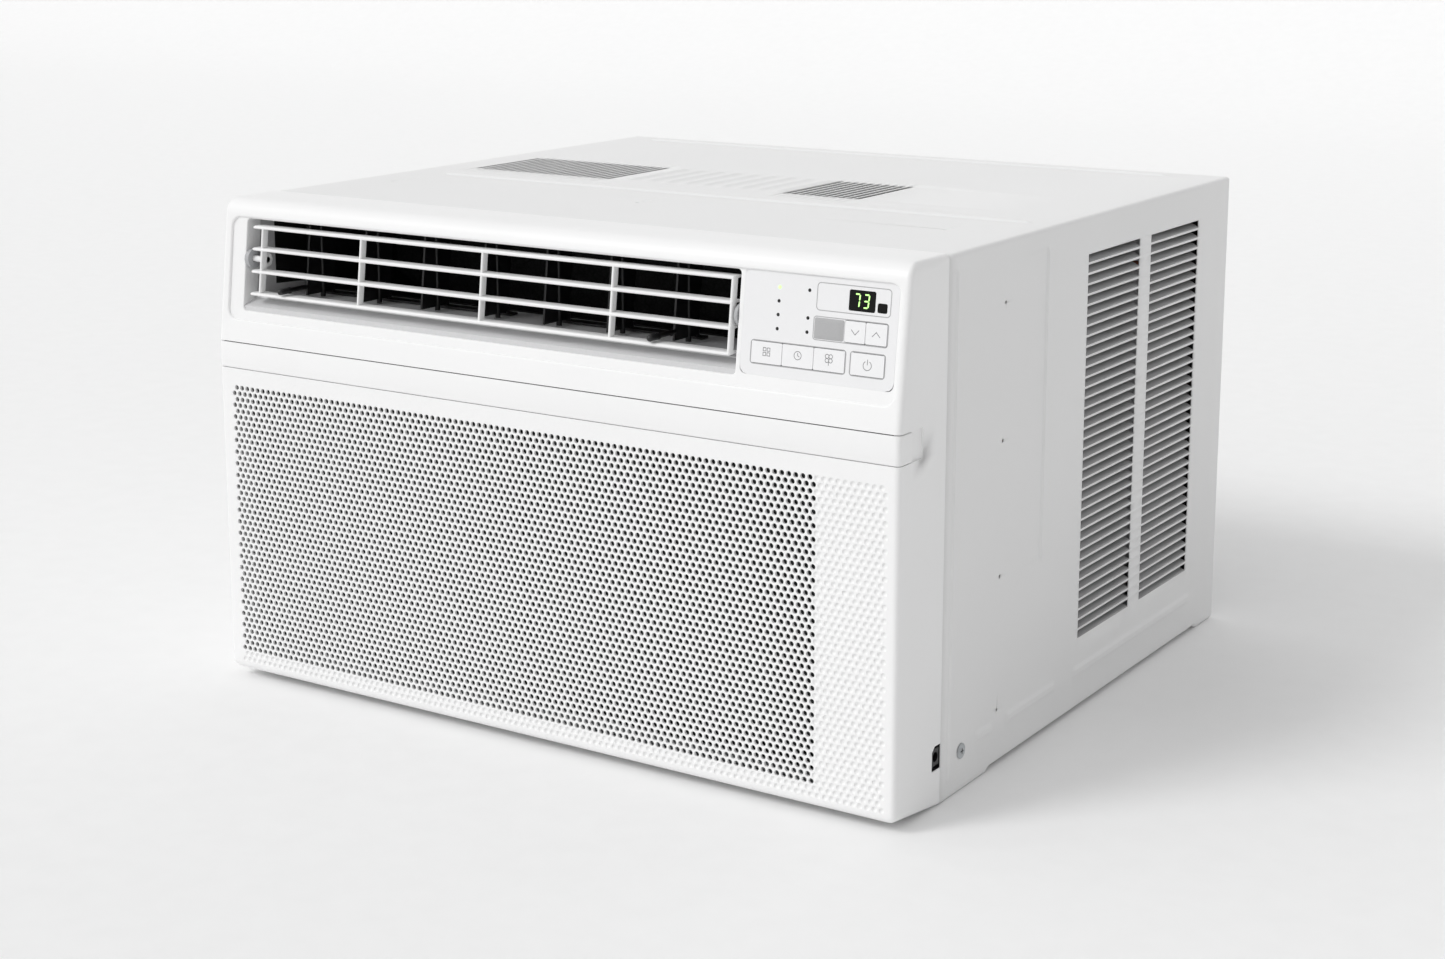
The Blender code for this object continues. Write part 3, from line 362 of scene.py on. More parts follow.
# box with flat sides as six grids of one cell
def slab(low, high):
    (a, b, c), (d, e, f) = low, high
    corner = lambda x, y, z: ((a, d)[x], (b, e)[y], (c, f)[z])
    sides = [((0, 0, 0), (0, 0, 1), (1, 0, 0), (1, 0, 1)), ((0, 1, 0), (1, 1, 0), (0, 1, 1), (1, 1, 1)),
             ((0, 0, 0), (0, 1, 0), (0, 0, 1), (0, 1, 1)), ((1, 0, 0), (1, 0, 1), (1, 1, 0), (1, 1, 1)),
             ((0, 0, 0), (1, 0, 0), (0, 1, 0), (1, 1, 0)), ((0, 0, 1), (0, 1, 1), (1, 0, 1), (1, 1, 1))]
    return [patch(np.array([corner(*p) for p in side]).reshape(2, 2, 3)) for side in sides]


# a closed section carried along a path: section offsets run sideways and upward at each path point
def carried(section, path, sideways, upward, caps=True):
    section = np.asarray(section, float)
    path = np.asarray(path, float)
    sideways = np.broadcast_to(np.asarray(sideways, float), path.shape)
    upward = np.broadcast_to(np.asarray(upward, float), path.shape)
    points = path[:, None] + section[None, :, :1] * sideways[:, None] + section[None, :, 1:] * upward[:, None]
    made = [patch(points, closedColumns=True)]
    if caps:
        half = len(section) // 2
        for ring in (points[0], points[-1]):
            made.append(patch(np.stack([ring[:half], ring[half:2 * half][::-1]])))
    return made


# points of an arc of an ellipse, from one angle to another in degrees
def arcPoints(centre, radii, start, end, count):
    turn = np.radians(np.linspace(start, end, count))
    return np.stack([centre[0] + radii[0] * np.cos(turn), centre[1] + radii[1] * np.sin(turn)], -1)


# rounded rectangle, anticlockwise from the lower right corner: a side takes sidePoints steps, a corner has
# cornerPoints points
def roundedLoop(across, upright, radius, sidePoints=6, cornerPoints=5):
    (x0, x1), (z0, z1) = across, upright
    side = np.linspace(0, 1, sidePoints + 1)[1:-1, None]
    corners = [((x1, z0), 270), ((x1, z1), 0), ((x0, z1), 90), ((x0, z0), 180)]
    rings = []
    for (x, z), start in corners:
        middle = (x - radius if x == x1 else x + radius, z + radius if z == z0 else z - radius)
        rings.append(arcPoints(middle, (radius, radius), start, start + 90, cornerPoints))
    loop = []
    for number, ring in enumerate(rings):
        loop += [ring, ring[-1] + (rings[(number + 1) % 4][0] - ring[-1]) * side]
    return np.concatenate(loop)


# the same number of points on a plain rectangle: corner points stay in the corner
def squareLoop(across, upright, like, radius, innerAcross, innerUpright):
    (x0, x1), (z0, z1) = across, upright
    (a0, a1), (b0, b1) = innerAcross, innerUpright
    x = np.interp(like[:, 0], [a0, a0 + radius, a1 - radius, a1], [x0, a0 + radius, a1 - radius, x1])
    z = np.interp(like[:, 1], [b0, b0 + radius, b1 - radius, b1], [z0, b0 + radius, b1 - radius, z1])
    atCorner = ((like[:, 0] < a0 + radius + 1e-9) | (like[:, 0] > a1 - radius - 1e-9)) & (
        (like[:, 1] < b0 + radius + 1e-9) | (like[:, 1] > b1 - radius - 1e-9))
    x = np.where(atCorner, np.where(like[:, 0] > (a0 + a1) / 2, x1, x0), x)
    z = np.where(atCorner, np.where(like[:, 1] > (b0 + b1) / 2, z1, z0), z)
    return np.stack([x, z], -1)


# ---- front housing ----
housing = {"half": 0.2985, "top": 0.3795, "seam": -0.2180, "front": -0.2815, "breakZ": 0.2700,
           "lean": 0.0125 / 0.104, "chinZ": 0.0065, "sideRound": 0.0040, "browRound": 0.0110,
           "chinWide": 0.0071, "handleZ": (0.2496, 0.2707), "fingerY": -0.2506,
           "slotZ": (0.0270, 0.0470), "slotDeep": 0.0085,
           "wallY": (-0.2180, -0.2262, -0.2300, -0.2506, -0.2650, -0.2775)}
# heights on the front loop, and where the same points lie on the seam with the cabinet
seam = {"frontZ": (0.0135, 0.0276, 0.0416, 0.0462, 0.2496, 0.2707, 0.3685, 0.3795),
        "seamZ": (0.0040, 0.0280, 0.0416, 0.0450, 0.2496, 0.2707, 0.3755, 0.3795), "corner": 0.004,
        "lipHalf": 0.2960, "lipZ": (0.0025, 0.3770), "lipY": -0.2300}
# gap round the handle strip: the filter's slit behind it and the finger pocket beside each end
handleGap = {"across": (-0.2895, 0.2360), "lipY": -0.2790, "pocketY": (-0.2780, -0.2690),
             "pocketDepth": (0.0030, 0.0012)}
intake = {"pitch": 0.005403, "row": 0.004653, "firstX": -0.2840, "topZ": 0.2346, "holes": 97, "columns": 107,
          "holeRows": 46, "rows": 48, "radius": 0.00193, "edge": 0.00022, "thick": 0.0020, "dimple": 0.00195,
          "dimpleDepth": 0.0013, "splits": (-1, -0.115, 0.058, 1)}
outlet = {"across": (-0.2760, 0.1705), "upright": (0.2950, 0.3652), "corner": 0.0030, "edge": 0.0008,
          "rampBackY": -0.2620, "rampTopZ": 0.3040, "rampBlend": 0.0090, "wallDepth": 0.0135}
fascia = {"across": (0.1740, 0.2900), "upright": (0.2970, 0.3655), "corner": 0.0045, "edge": 0.0003}
bezel = {"across": (-0.2898, 0.2920), "upright": (0.2880, 0.3660), "corner": 0.0080, "edge": 0.0014,
         "recess": 0.0020}


# the face is upright up to breakZ and leans back above it
def faceY(z):
    return housing["front"] + np.maximum(0.0, np.asarray(z) - housing["breakZ"]) * housing["lean"]


# a point of the leaning face, lifted off it by lift along its own slope's outward direction
def onFace(x, z, lift):
    run = math.hypot(1.0, housing["lean"])
    x, z, lift = np.broadcast_arrays(np.asarray(x, float), np.asarray(z, float), np.asarray(lift, float))
    return np.stack([x, faceY(z) - lift / run, z + lift * housing["lean"] / run], -1)


def latticeLines():
    low = intake["topZ"] + intake["row"] / 2 - intake["row"] * intake["rows"]
    zLines = low + intake["row"] * np.arange(intake["rows"] + 1)
    halfPitch = intake["pitch"] / 2
    xLines = intake["firstX"] - halfPitch + halfPitch * np.arange(2 * intake["columns"] + 1)
    return xLines, zLines


# One loop of the housing seen from the front. Straight sides keep their own height or width, corners are
# quarter ellipses, and each point knows its corner's centre, radii and how far the edge rounding reaches in.
def housingLoop():
    xLines, zLines = latticeLines()
    half, top = housing["half"], housing["top"]
    low, high = housing["handleZ"]
    chin = zLines[0] - housing["chinZ"]
    side, brow, wide = housing["sideRound"], housing["browRound"], housing["chinWide"]
    upperZ = np.linspace(high, top - brow, 8)
    sideZ = np.concatenate([zLines, [low], upperZ])
    topX = np.linspace(half - side, side - half, 60)
    angles = np.linspace(0, 90, 8)
    rows = []  # centre x, centre z, angle, radius x, radius z, inset x, inset z
    rows += [(half - side, z, 0, side, 0, side, 0) for z in sideZ]
    rows += [(half - side, top - brow, a, side, brow, side, brow) for a in angles[1:-1]]
    rows += [(x, top - brow, 90, 0, brow, 0, brow) for x in topX]
    rows += [(side - half, top - brow, a + 90, side, brow, side, brow) for a in angles[1:-1]]
    rows += [(side - half, z, 180, side, 0, side, 0) for z in sideZ[::-1]]
    rows += [(wide - half, zLines[0], a + 180, wide, chin, side, chin) for a in angles[1:-1]]
    rows += [(x, zLines[0], 270, 0, chin, 0, chin) for x in np.concatenate([[wide - half], xLines])]
    rows += [(half - wide, zLines[0], a + 270, wide, chin, side, chin) for a in angles[1:-1]]
    return np.array(rows)


# Walls run straight from the seam loop to the front loop; then a quarter turn rounds them into the face:
# the loop shrinks by inset (1 - cos t) while its depth falls by inset (1 - sin t).
def housingShell():
    rows = housingLoop()
    cx, cz, angle, rx, rz, ox, oz = rows.T
    cosA, sinA = np.round(np.cos(np.radians(angle)), 9), np.round(np.sin(np.radians(angle)), 9)
    reach = ox * cosA ** 2 + oz * sinA ** 2
    frontX, frontZ = cx + rx * cosA, cz + rz * sinA
    small = seam["corner"]
    seamX = np.where(rx > 0, np.sign(cx) * (housing["half"] - small) + small * cosA, cx)
    seamCz = np.interp(cz, seam["frontZ"], seam["seamZ"])
    seamZ = np.where(rz > 0, seamCz + small * sinA, seamCz)
    frontY = faceY(frontZ) + reach
    wallY = np.array(housing["wallY"])
    mix = ((wallY - wallY[0]) / (wallY[-1] - wallY[0]))[:, None]
    walls = np.stack([seamX + (frontX - seamX) * mix, housing["seam"] + (frontY - housing["seam"]) * mix,
                      seamZ + (frontZ - seamZ) * mix], -1)
    turn = np.radians(np.linspace(0, 90, 8))[1:, None]
    inset = 1 - np.cos(turn)
    edgeX, edgeZ = cx + (rx - ox * inset) * cosA, cz + (rz - oz * inset) * sinA
    edge = np.stack([edgeX, faceY(edgeZ) + reach * (1 - np.sin(turn)), edgeZ], -1)
    points = np.concatenate([walls, edge])
    low, high = housing["handleZ"]
    nextZ = np.roll(cz, -1)
    under, over = np.minimum(cz, nextZ), np.maximum(cz, nextZ)
    inGap = (np.abs(cx) > 0.28) & (under >= low - 1e-6) & (over <= high + 1e-6)
    keep = np.ones((len(points) - 1, len(rows)), bool)
    keep[3:, inGap] = False
    slot = (cx > 0.28) & (under > housing["slotZ"][0]) & (over < housing["slotZ"][1]) & (rx > 0) & (rz == 0)
    keep[:2, slot] = False
    # return lip inside the seam
    lipAt = points[0].copy()
    lipAt[:, 0] = np.clip(lipAt[:, 0], -seam["lipHalf"], seam["lipHalf"])
    lipAt[:, 2] = np.clip(lipAt[:, 2], *seam["lipZ"])
    lipIn = lipAt.copy()
    lipIn[:, 1] = seam["lipY"]
    lipKeep = np.ones((2, len(rows)), bool)
    lipKeep[:, slot] = False
    made = [patch(points, closedColumns=True, keep=keep, flip=True),
            patch(np.stack([lipIn, lipAt, points[0]]), closedColumns=True, keep=lipKeep, flip=True)]
    # the cord outlet's chamfered upper corner, and its walls in black: painted shade inside the slot
    places = np.flatnonzero(slot)
    first, last = places[0], places[-1] + 1
    made.append(patch([[points[2, last - 1], points[1, last]], [points[2, last], points[2, last]]]))
    rim = np.array([*points[:3, first], points[2, last - 1], points[1, last],
                    points[0, last]]) - (0.0006, 0, 0)
    deep = rim - (housing["slotDeep"], 0, 0)
    walls = patch(np.stack([rim, deep, deep * 0 + deep.mean(0)]), closedColumns=True)
    makePiece("cord_outlet_painted_shade_walls", [walls],
              blackAbs, "chassis", ("front_housing",))
    return made, points[-1]


# flat face of the lower housing: the border between the hole lattice and the rounded edge
def lowerBorder(innerRing):
    xLines, zLines = latticeLines()
    xIn = housing["half"] - housing["sideRound"]
    low = housing["handleZ"][0]
    z0, z1, x0, x1 = zLines[0], zLines[-1], xLines[0], xLines[-1]
    pairs = [((xIn, z), (x1, z)) for z in zLines] + [((xIn, low), (x1, z1))]
    pairs += [((x, low), (x, z1)) for x in xLines[::-1]] + [((-xIn, low), (x0, z1))]
    pairs += [((-xIn, z), (x0, z)) for z in zLines[::-1]] + [((-xIn, z0), (x0, z0))]
    outer, inner = zip(*pairs)
    flat = lambda loop: np.array([(x, housing["front"], z) for x, z in loop])
    return patch(np.stack([flat(outer), flat(inner)]), flip=True)


# Perforated intake: every hole is the same fan of quads between a brick-shaped cell and a round rim.
# The rim is chamfered, the wall goes straight back, and the back face closes the cell again.
def latticeCells(centres, blind):
    p, q = intake["pitch"] / 2, intake["row"] / 2
    cell = np.array([(p, 0), (p, q), (p, q), (0, q), (-p, q), (-p, q), (-p, 0), (-p, -q), (-p, -q), (0, -q),
                     (p, -q), (p, -q)])
    turn = np.radians(np.arange(0, 360, 30))
    circle = np.stack([np.cos(turn), np.sin(turn)], -1)
    front, back = housing["front"], housing["front"] + intake["thick"]
    if blind:
        r, d = intake["dimple"], intake["dimpleDepth"]
        rings = [(cell, front), (circle * (r + 0.0002), front), (circle * r * 0.88, front + d * 0.62),
                 (circle * r * 0.45, front + d), (circle * 0.0, front + d)]
    else:
        r, e = intake["radius"], intake["edge"]
        rings = [(cell, front), (circle * (r + e), front), (circle * r, front + e), (circle * r, back),
                 (cell, back)]
    local = np.array([[(x, y, z) for x, z in ring] for ring, y in rings])
    points = local[None] + np.stack([centres[:, 0], np.zeros(len(centres)), centres[:, 1]], -1)[:, None, None]
    quads = gridQuads(len(rings), 12, False, True, None)
    count = len(rings) * 12
    quads = (quads[None] + (np.arange(len(centres)) * count)[:, None, None]).reshape(-1, 4)
    return points.reshape(-1, 3), quads[:, ::-1]


def intakeLattice():
    p, q = intake["pitch"], intake["row"]
    row, column = np.meshgrid(np.arange(intake["rows"]), np.arange(intake["columns"]), indexing="ij")
    shifted = row % 2 == 0
    real = ~(shifted & (column == intake["columns"] - 1))
    x = intake["firstX"] + p * (column + 0.5 * shifted)
    z = intake["topZ"] - q * row
    through = (row < intake["holeRows"]) & (column < intake["holes"] - shifted) & real
    centres = np.stack([x, z], -1)
    # half cells at both ends of the shifted rows
    ends = []
    for r in range(0, intake["rows"], 2):
        z0 = intake["topZ"] - q * r - q / 2
        for xa, xb in ((intake["firstX"] - p / 2, intake["firstX"]),
                       (intake["firstX"] + p * (intake["columns"] - 1),
                        intake["firstX"] + p * (intake["columns"] - 0.5))):
            ends.append(patch([[(xa, housing["front"], z0), (xb, housing["front"], z0)],
                               [(xa, housing["front"], z0 + q), (xb, housing["front"], z0 + q)]], flip=True))
    return centres, through, real & ~through, ends


# face round an opening: rings go from a rectangle to the opening's edge, round it off and run back into it
def framedOpening(across, upright, opening, deep, base=0.0):
    r, e = opening["corner"], opening["edge"]
    (a0, a1), (b0, b1) = opening["across"], opening["upright"]
    wideAcross, wideUpright = (a0 - e, a1 + e), (b0 - e, b1 + e)
    rim = roundedLoop(wideAcross, wideUpright, r + e, 24, 8)
    outer = squareLoop(across, upright, rim, r + e, wideAcross, wideUpright)
    rings = [onFace(outer[:, 0], outer[:, 1], base), onFace(rim[:, 0], rim[:, 1], base)]
    for turn in np.radians([18, 36, 54, 72, 90]):
        out = e - e * math.sin(turn)
        loop = roundedLoop((a0 - out, a1 + out), (b0 - out, b1 + out), r + out, 24, 8)
        rings.append(onFace(loop[:, 0], loop[:, 1], base - e * (1 - math.cos(turn))))
    last = rings[-1]
    rings += deep(last)
    return patch(np.stack(rings), closedColumns=True, flip=True)


# sides and roof go straight back, the floor becomes a ramp up to the duct
def outletDeep(rim):
    weight = np.clip((outlet["rampTopZ"] - rim[:, 2]) / outlet["rampBlend"], 0, 1)[:, None]
    rings = []
    for share in (0.15, 0.35, 0.6, 0.8, 1.0):
        back = rim + np.array([0.0, outlet["wallDepth"] * share, 0.0])
        ramp = rim.copy()
        ramp[:, 1] += (outlet["rampBackY"] - rim[:, 1]) * share
        ramp[:, 2] += (outlet["rampTopZ"] - rim[:, 2]) * (0.35 * share + 0.65 * share * share)
        rings.append(back * (1 - weight) + ramp * weight)
    return rings


def fasciaDeep(rim):
    return [rim + np.array([0.0, 0.0015, 0.0])]


# the rim ends just behind the recessed face
def bezelDeep(rim):
    return [rim + np.array([0.0, 0.0006, 0.0])]


def makeHousing():
    shell, innerRing = housingShell()
    xIn = housing["half"] - housing["sideRound"]
    low, high = housing["handleZ"]
    split = (outlet["across"][1] + fascia["across"][0]) / 2
    faceTop = housing["top"] - housing["browRound"]
    (b0, b1), (b2, b3) = bezel["across"], bezel["upright"]
    shell.append(framedOpening((-xIn, xIn), (high, faceTop), bezel, bezelDeep))
    lap = 0.0005
    upright, recessed = (b2 - lap, b3 + lap), -bezel["recess"]
    shell.append(framedOpening((b0 - lap, split), upright, outlet, outletDeep, recessed))
    shell.append(framedOpening((split, b1 + lap), upright, fascia, fasciaDeep, recessed))
    shell.append(lowerBorder(innerRing))
    # shelves above and below the handle strip, open below it for the filter
    half, back, side = housing["half"], housing["fingerY"], housing["sideRound"]
    gap0, gap1 = handleGap["across"]
    lipY = handleGap["lipY"]
    corner = arcPoints((half - side, housing["front"] + side), (side, side), 0, -90, 8)
    for z, spans, flip in ((high, ((-half, half),), False), (low, ((-half, gap0), (gap1, half)), True)):
        for x0, x1 in spans:
            x = np.unique(np.clip(np.concatenate([corner[:, 0], -corner[:, 0], [x0, x1]]), x0, x1))
            y = np.interp(np.abs(x), corner[::-1, 0], corner[::-1, 1])
            shell.append(patch(np.stack([np.stack([x, y, x * 0 + z], -1),
                                         np.stack([x, x * 0 + back, x * 0 + z], -1)]), flip=flip))
    shell.append(patch([[(x, housing["front"], low), (x, lipY, low)] for x in (gap0, gap1)]))
    # shallow finger pocket beside each end of the strip: its floor rises towards the seam
    (deep, shallow), (y0, y1) = handleGap["pocketDepth"], handleGap["pocketY"]
    for sign in (1, -1):
        floor = [(sign * (half - deep), y0), (sign * (half - deep), y1), (sign * (half - shallow), back),
                 (sign * half, back)]
        shell.append(patch([[(x, y, low), (x, y, high)] for x, y in floor], flip=sign < 0))
    centres, through, blind, ends = intakeLattice()
    makePiece("front_housing_shell", shell + ends + [latticeCells(centres[blind], True)], whiteAbs, "chassis",
              ("front_housing",), sharp=40)
    holes = centres[through]
    for number, (x0, x1) in enumerate(zip(intake["splits"], intake["splits"][1:]), start=1):
        inside = (holes[:, 0] > x0) & (holes[:, 0] <= x1)
        makePiece(f"intake_grille_{number}", [latticeCells(holes[inside], False)], whiteAbs, "chassis",
                  ("front_housing",))
    print("front housing and intake made:", int(through.sum()), "holes")


makeHousing()


# ---- filter handle ----
handle = {"z": (0.2500, 0.2699), "backY": -0.2650, "thick": 0.0024, "edge": 0.0007, "corner": 0.0040,
          "shelfX": (-0.2850, 0.2290), "shelfZ": (0.2540, 0.2560), "shelfBackY": -0.2545,
          "shelfFront": 0.0020, "gapShadeHalf": 0.2930, "gapShadeZ": (0.2700, 0.27062), "gapShadeDepth": (0.0007, 0.0024)}


# a rounded strip section carried round the front of the housing, from one side to the other
def makeHandle():
    half, front, r = housing["half"], housing["front"], handle["corner"]
    z0, z1 = handle["z"]
    t, e = handle["thick"], handle["edge"]
    right = arcPoints((half - r, front + r), (r, r), 0, -90, 9)
    plan = np.concatenate([[(half, handle["backY"])], right, (right * (-1, 1))[::-1],
                           [(-half, handle["backY"])]])
    turn = np.radians(np.concatenate([[0], np.linspace(0, -90, 9), np.linspace(-90, -180, 9), [-180]]))
    outward = np.stack([np.cos(turn), np.sin(turn), 0 * turn], -1)
    outer = np.concatenate([arcPoints((-e, z0 + e), (e, e), 270, 360, 4),
                            arcPoints((-e, z1 - e), (e, e), 0, 90, 4)])
    section = np.concatenate([outer, outer[::-1] * (0, 1) + (-t, 0)])
    path = np.stack([plan[:, 0], plan[:, 1], 0 * plan[:, 0]], -1)
    pieces = carried(section, path, outward, (0, 0, 1))
    (x0, x1), (low, high) = handle["shelfX"], handle["shelfZ"]
    pieces += slab((x0, front + handle["shelfFront"], low), (x1, handle["shelfBackY"], high))
    makePiece("filter_handle_strip", pieces, whiteAbs, "filter", ("filter_handle",),
              sharp=40, turnOut=True)
    # a thin black rubber strip just inside the gap above the handle: painted shade that keeps the gap dark
    (y0, y1), (low, high) = handle["gapShadeDepth"], handle["gapShadeZ"]
    gapShade = slab((-handle["gapShadeHalf"], front + y0, low), (handle["gapShadeHalf"], front + y1, high))
    makePiece("handle_gap_shade_strip", gapShade, rubber, "filter", ("filter_handle",), turnOut=True)
    print("filter handle made")


makeHandle()


# ---- cabinet ----
cabinet = {"half": 0.2985, "top": 0.3785, "frontY": -0.2176, "backY": 0.2815, "corner": 0.0035,
           "sheet": 0.0010, "floorZ": 0.0030, "bead": 0.0014, "beadHalf": 0.0024,
           "sideBeads": ((-0.2055, 0.0107, 0.3686), (-0.0670, 0.1350, 0.3660)),
           "lowRibZ": 0.0325, "lowRibs": ((-0.1680, -0.1390), (-0.1210, -0.0360), (-0.0070, 0.2260)),
           "topBeads": ((-0.0550, -0.2580, 0.2800), (0.2580, -0.2660, 0.2540)),
           "rearOpening": (0.2840, 0.0160, 0.3650), "rearRound": 0.0030,
           "footY": (-0.1420, 0.2410), "footRamp": 0.005, "footDrop": 0.0030,
           "linesZ": (0.0070, 0.0107, 0.0127, 0.0157, 0.1350, 0.1370, 0.1400, 0.3610, 0.3640, 0.3660, 0.3686),
           "foam": (((0.2625, 0.2735, 0.0330), (0.2974, 0.2795, 0.3770)),
                    ((-0.2974, 0.2735, 0.0330), (-0.2875, 0.2795, 0.3770)))}
louvres = {"count": 38, "z": (0.0583, 0.3520), "columns": ((0.0020, 0.0970), (0.1180, 0.2150)),
           "strip": 0.0017, "inward": 0.0064, "rise": 0.0058, "endGap": 0.0004, "rearGap": 0.0080,
           "wall": 0.0006}
vents = {"banks": ((-0.2640, -0.1220, 20), (0.0420, 0.1130, 10)), "y": (-0.0080, 0.0800), "halfSlot": 0.00245,
         "point": 0.0030, "ribs": (-0.1050, 0.0350, 9), "ribHalf": 0.0045, "ribHeight": 0.0010}
holes = {"side": ((-0.1330, 0.3350), (-0.1330, 0.2380), (-0.1330, 0.1406), (-0.1330, 0.0430)),
         "top": ((-0.2620, -0.1160), (-0.0193, -0.1160), (0.2415, -0.1160)), "radius": 0.0014}
# the chassis screw: deep is how far it is sunk, the others are shares of its radius
screw = {"deep": 0.0010, "lip": 0.66, "head": 0.64, "dome": 0.52, "crown": 0.25, "reach": 0.36, "wide": 0.09}


# ridge with a flat top and straight flanks: one over the middle third, nought at half away
def hump(t, centre, half):
    return np.clip(1.5 - 1.5 * np.abs((t - centre) / half), 0, 1)


# one between low and high, easing to nought over ramp at each end
def between(t, low, high, ramp):
    step = np.clip(np.minimum(t - low, high - t) / ramp, 0, 1)
    return step * step * (3 - 2 * step)


def around(centre, half, count):
    return centre + np.linspace(-half, half, count)


# lines through the corners of an eight-sided hole
def holeLines(centre):
    return [centre + holes["radius"] * k for k in (-1, -0.414, 0.414, 1)]


def cabinetLines():
    b = cabinet["beadHalf"]
    (foot0, foot1), ramp = cabinet["footY"], cabinet["footRamp"]
    y = [cabinet["frontY"], cabinet["backY"] - cabinet["rearRound"], foot0 - ramp, foot0, foot1, foot1 + ramp]
    for centre, *_ in cabinet["sideBeads"] + cabinet["topBeads"]:
        y += list(around(centre, b, 7))
    for low, high in cabinet["lowRibs"]:
        y += [low, low + 0.002, low + 0.005, high - 0.005, high - 0.002, high]
    for low, high in louvres["columns"]:
        y += [low, high]
    y0, y1 = vents["y"]
    y += [y0, y0 + 0.003, y0 + 0.006, y1 - 0.006, y1 - 0.003, y1]
    y += holeLines(holes["side"][0][0]) + holeLines(holes["top"][0][1])
    z = list(cabinet["linesZ"]) + list(around(cabinet["lowRibZ"], 0.0050, 13))
    pitch = (louvres["z"][1] - louvres["z"][0]) / louvres["count"]
    for number in range(louvres["count"]):
        z += [louvres["z"][0] + number * pitch, louvres["z"][0] + (number + 1) * pitch - louvres["strip"]]
    z.append(louvres["z"][1])
    for _, centre in holes["side"]:
        z += holeLines(centre)
    x = [-0.2840, 0.2840]
    for low, high, count in vents["banks"]:
        width = (high - low) / count
        for number in range(count):
            middle = low + (number + 0.5) * width
            x += [middle - vents["halfSlot"], middle, middle + vents["halfSlot"]]
    low, high, count = vents["ribs"]
    for centre in np.linspace(low, high, count):
        x += list(around(centre, vents["ribHalf"], 7))
    for _, a, c in cabinet["topBeads"]:
        x += [a, a + 0.002, a + 0.004, c - 0.004, c - 0.002, c]
    for centre, _ in holes["top"]:
        x += holeLines(centre)
    tidy = lambda values, low, high: np.array(sorted({round(v, 6) for v in values if low < v < high}))
    r = cabinet["corner"]
    return (tidy(y, -1, 1), tidy(z, cabinet["floorZ"] + r + 0.0005, cabinet["top"] - r - 0.0005),
            tidy(x, -cabinet["half"] + r + 0.0005, cabinet["half"] - r - 0.0005))


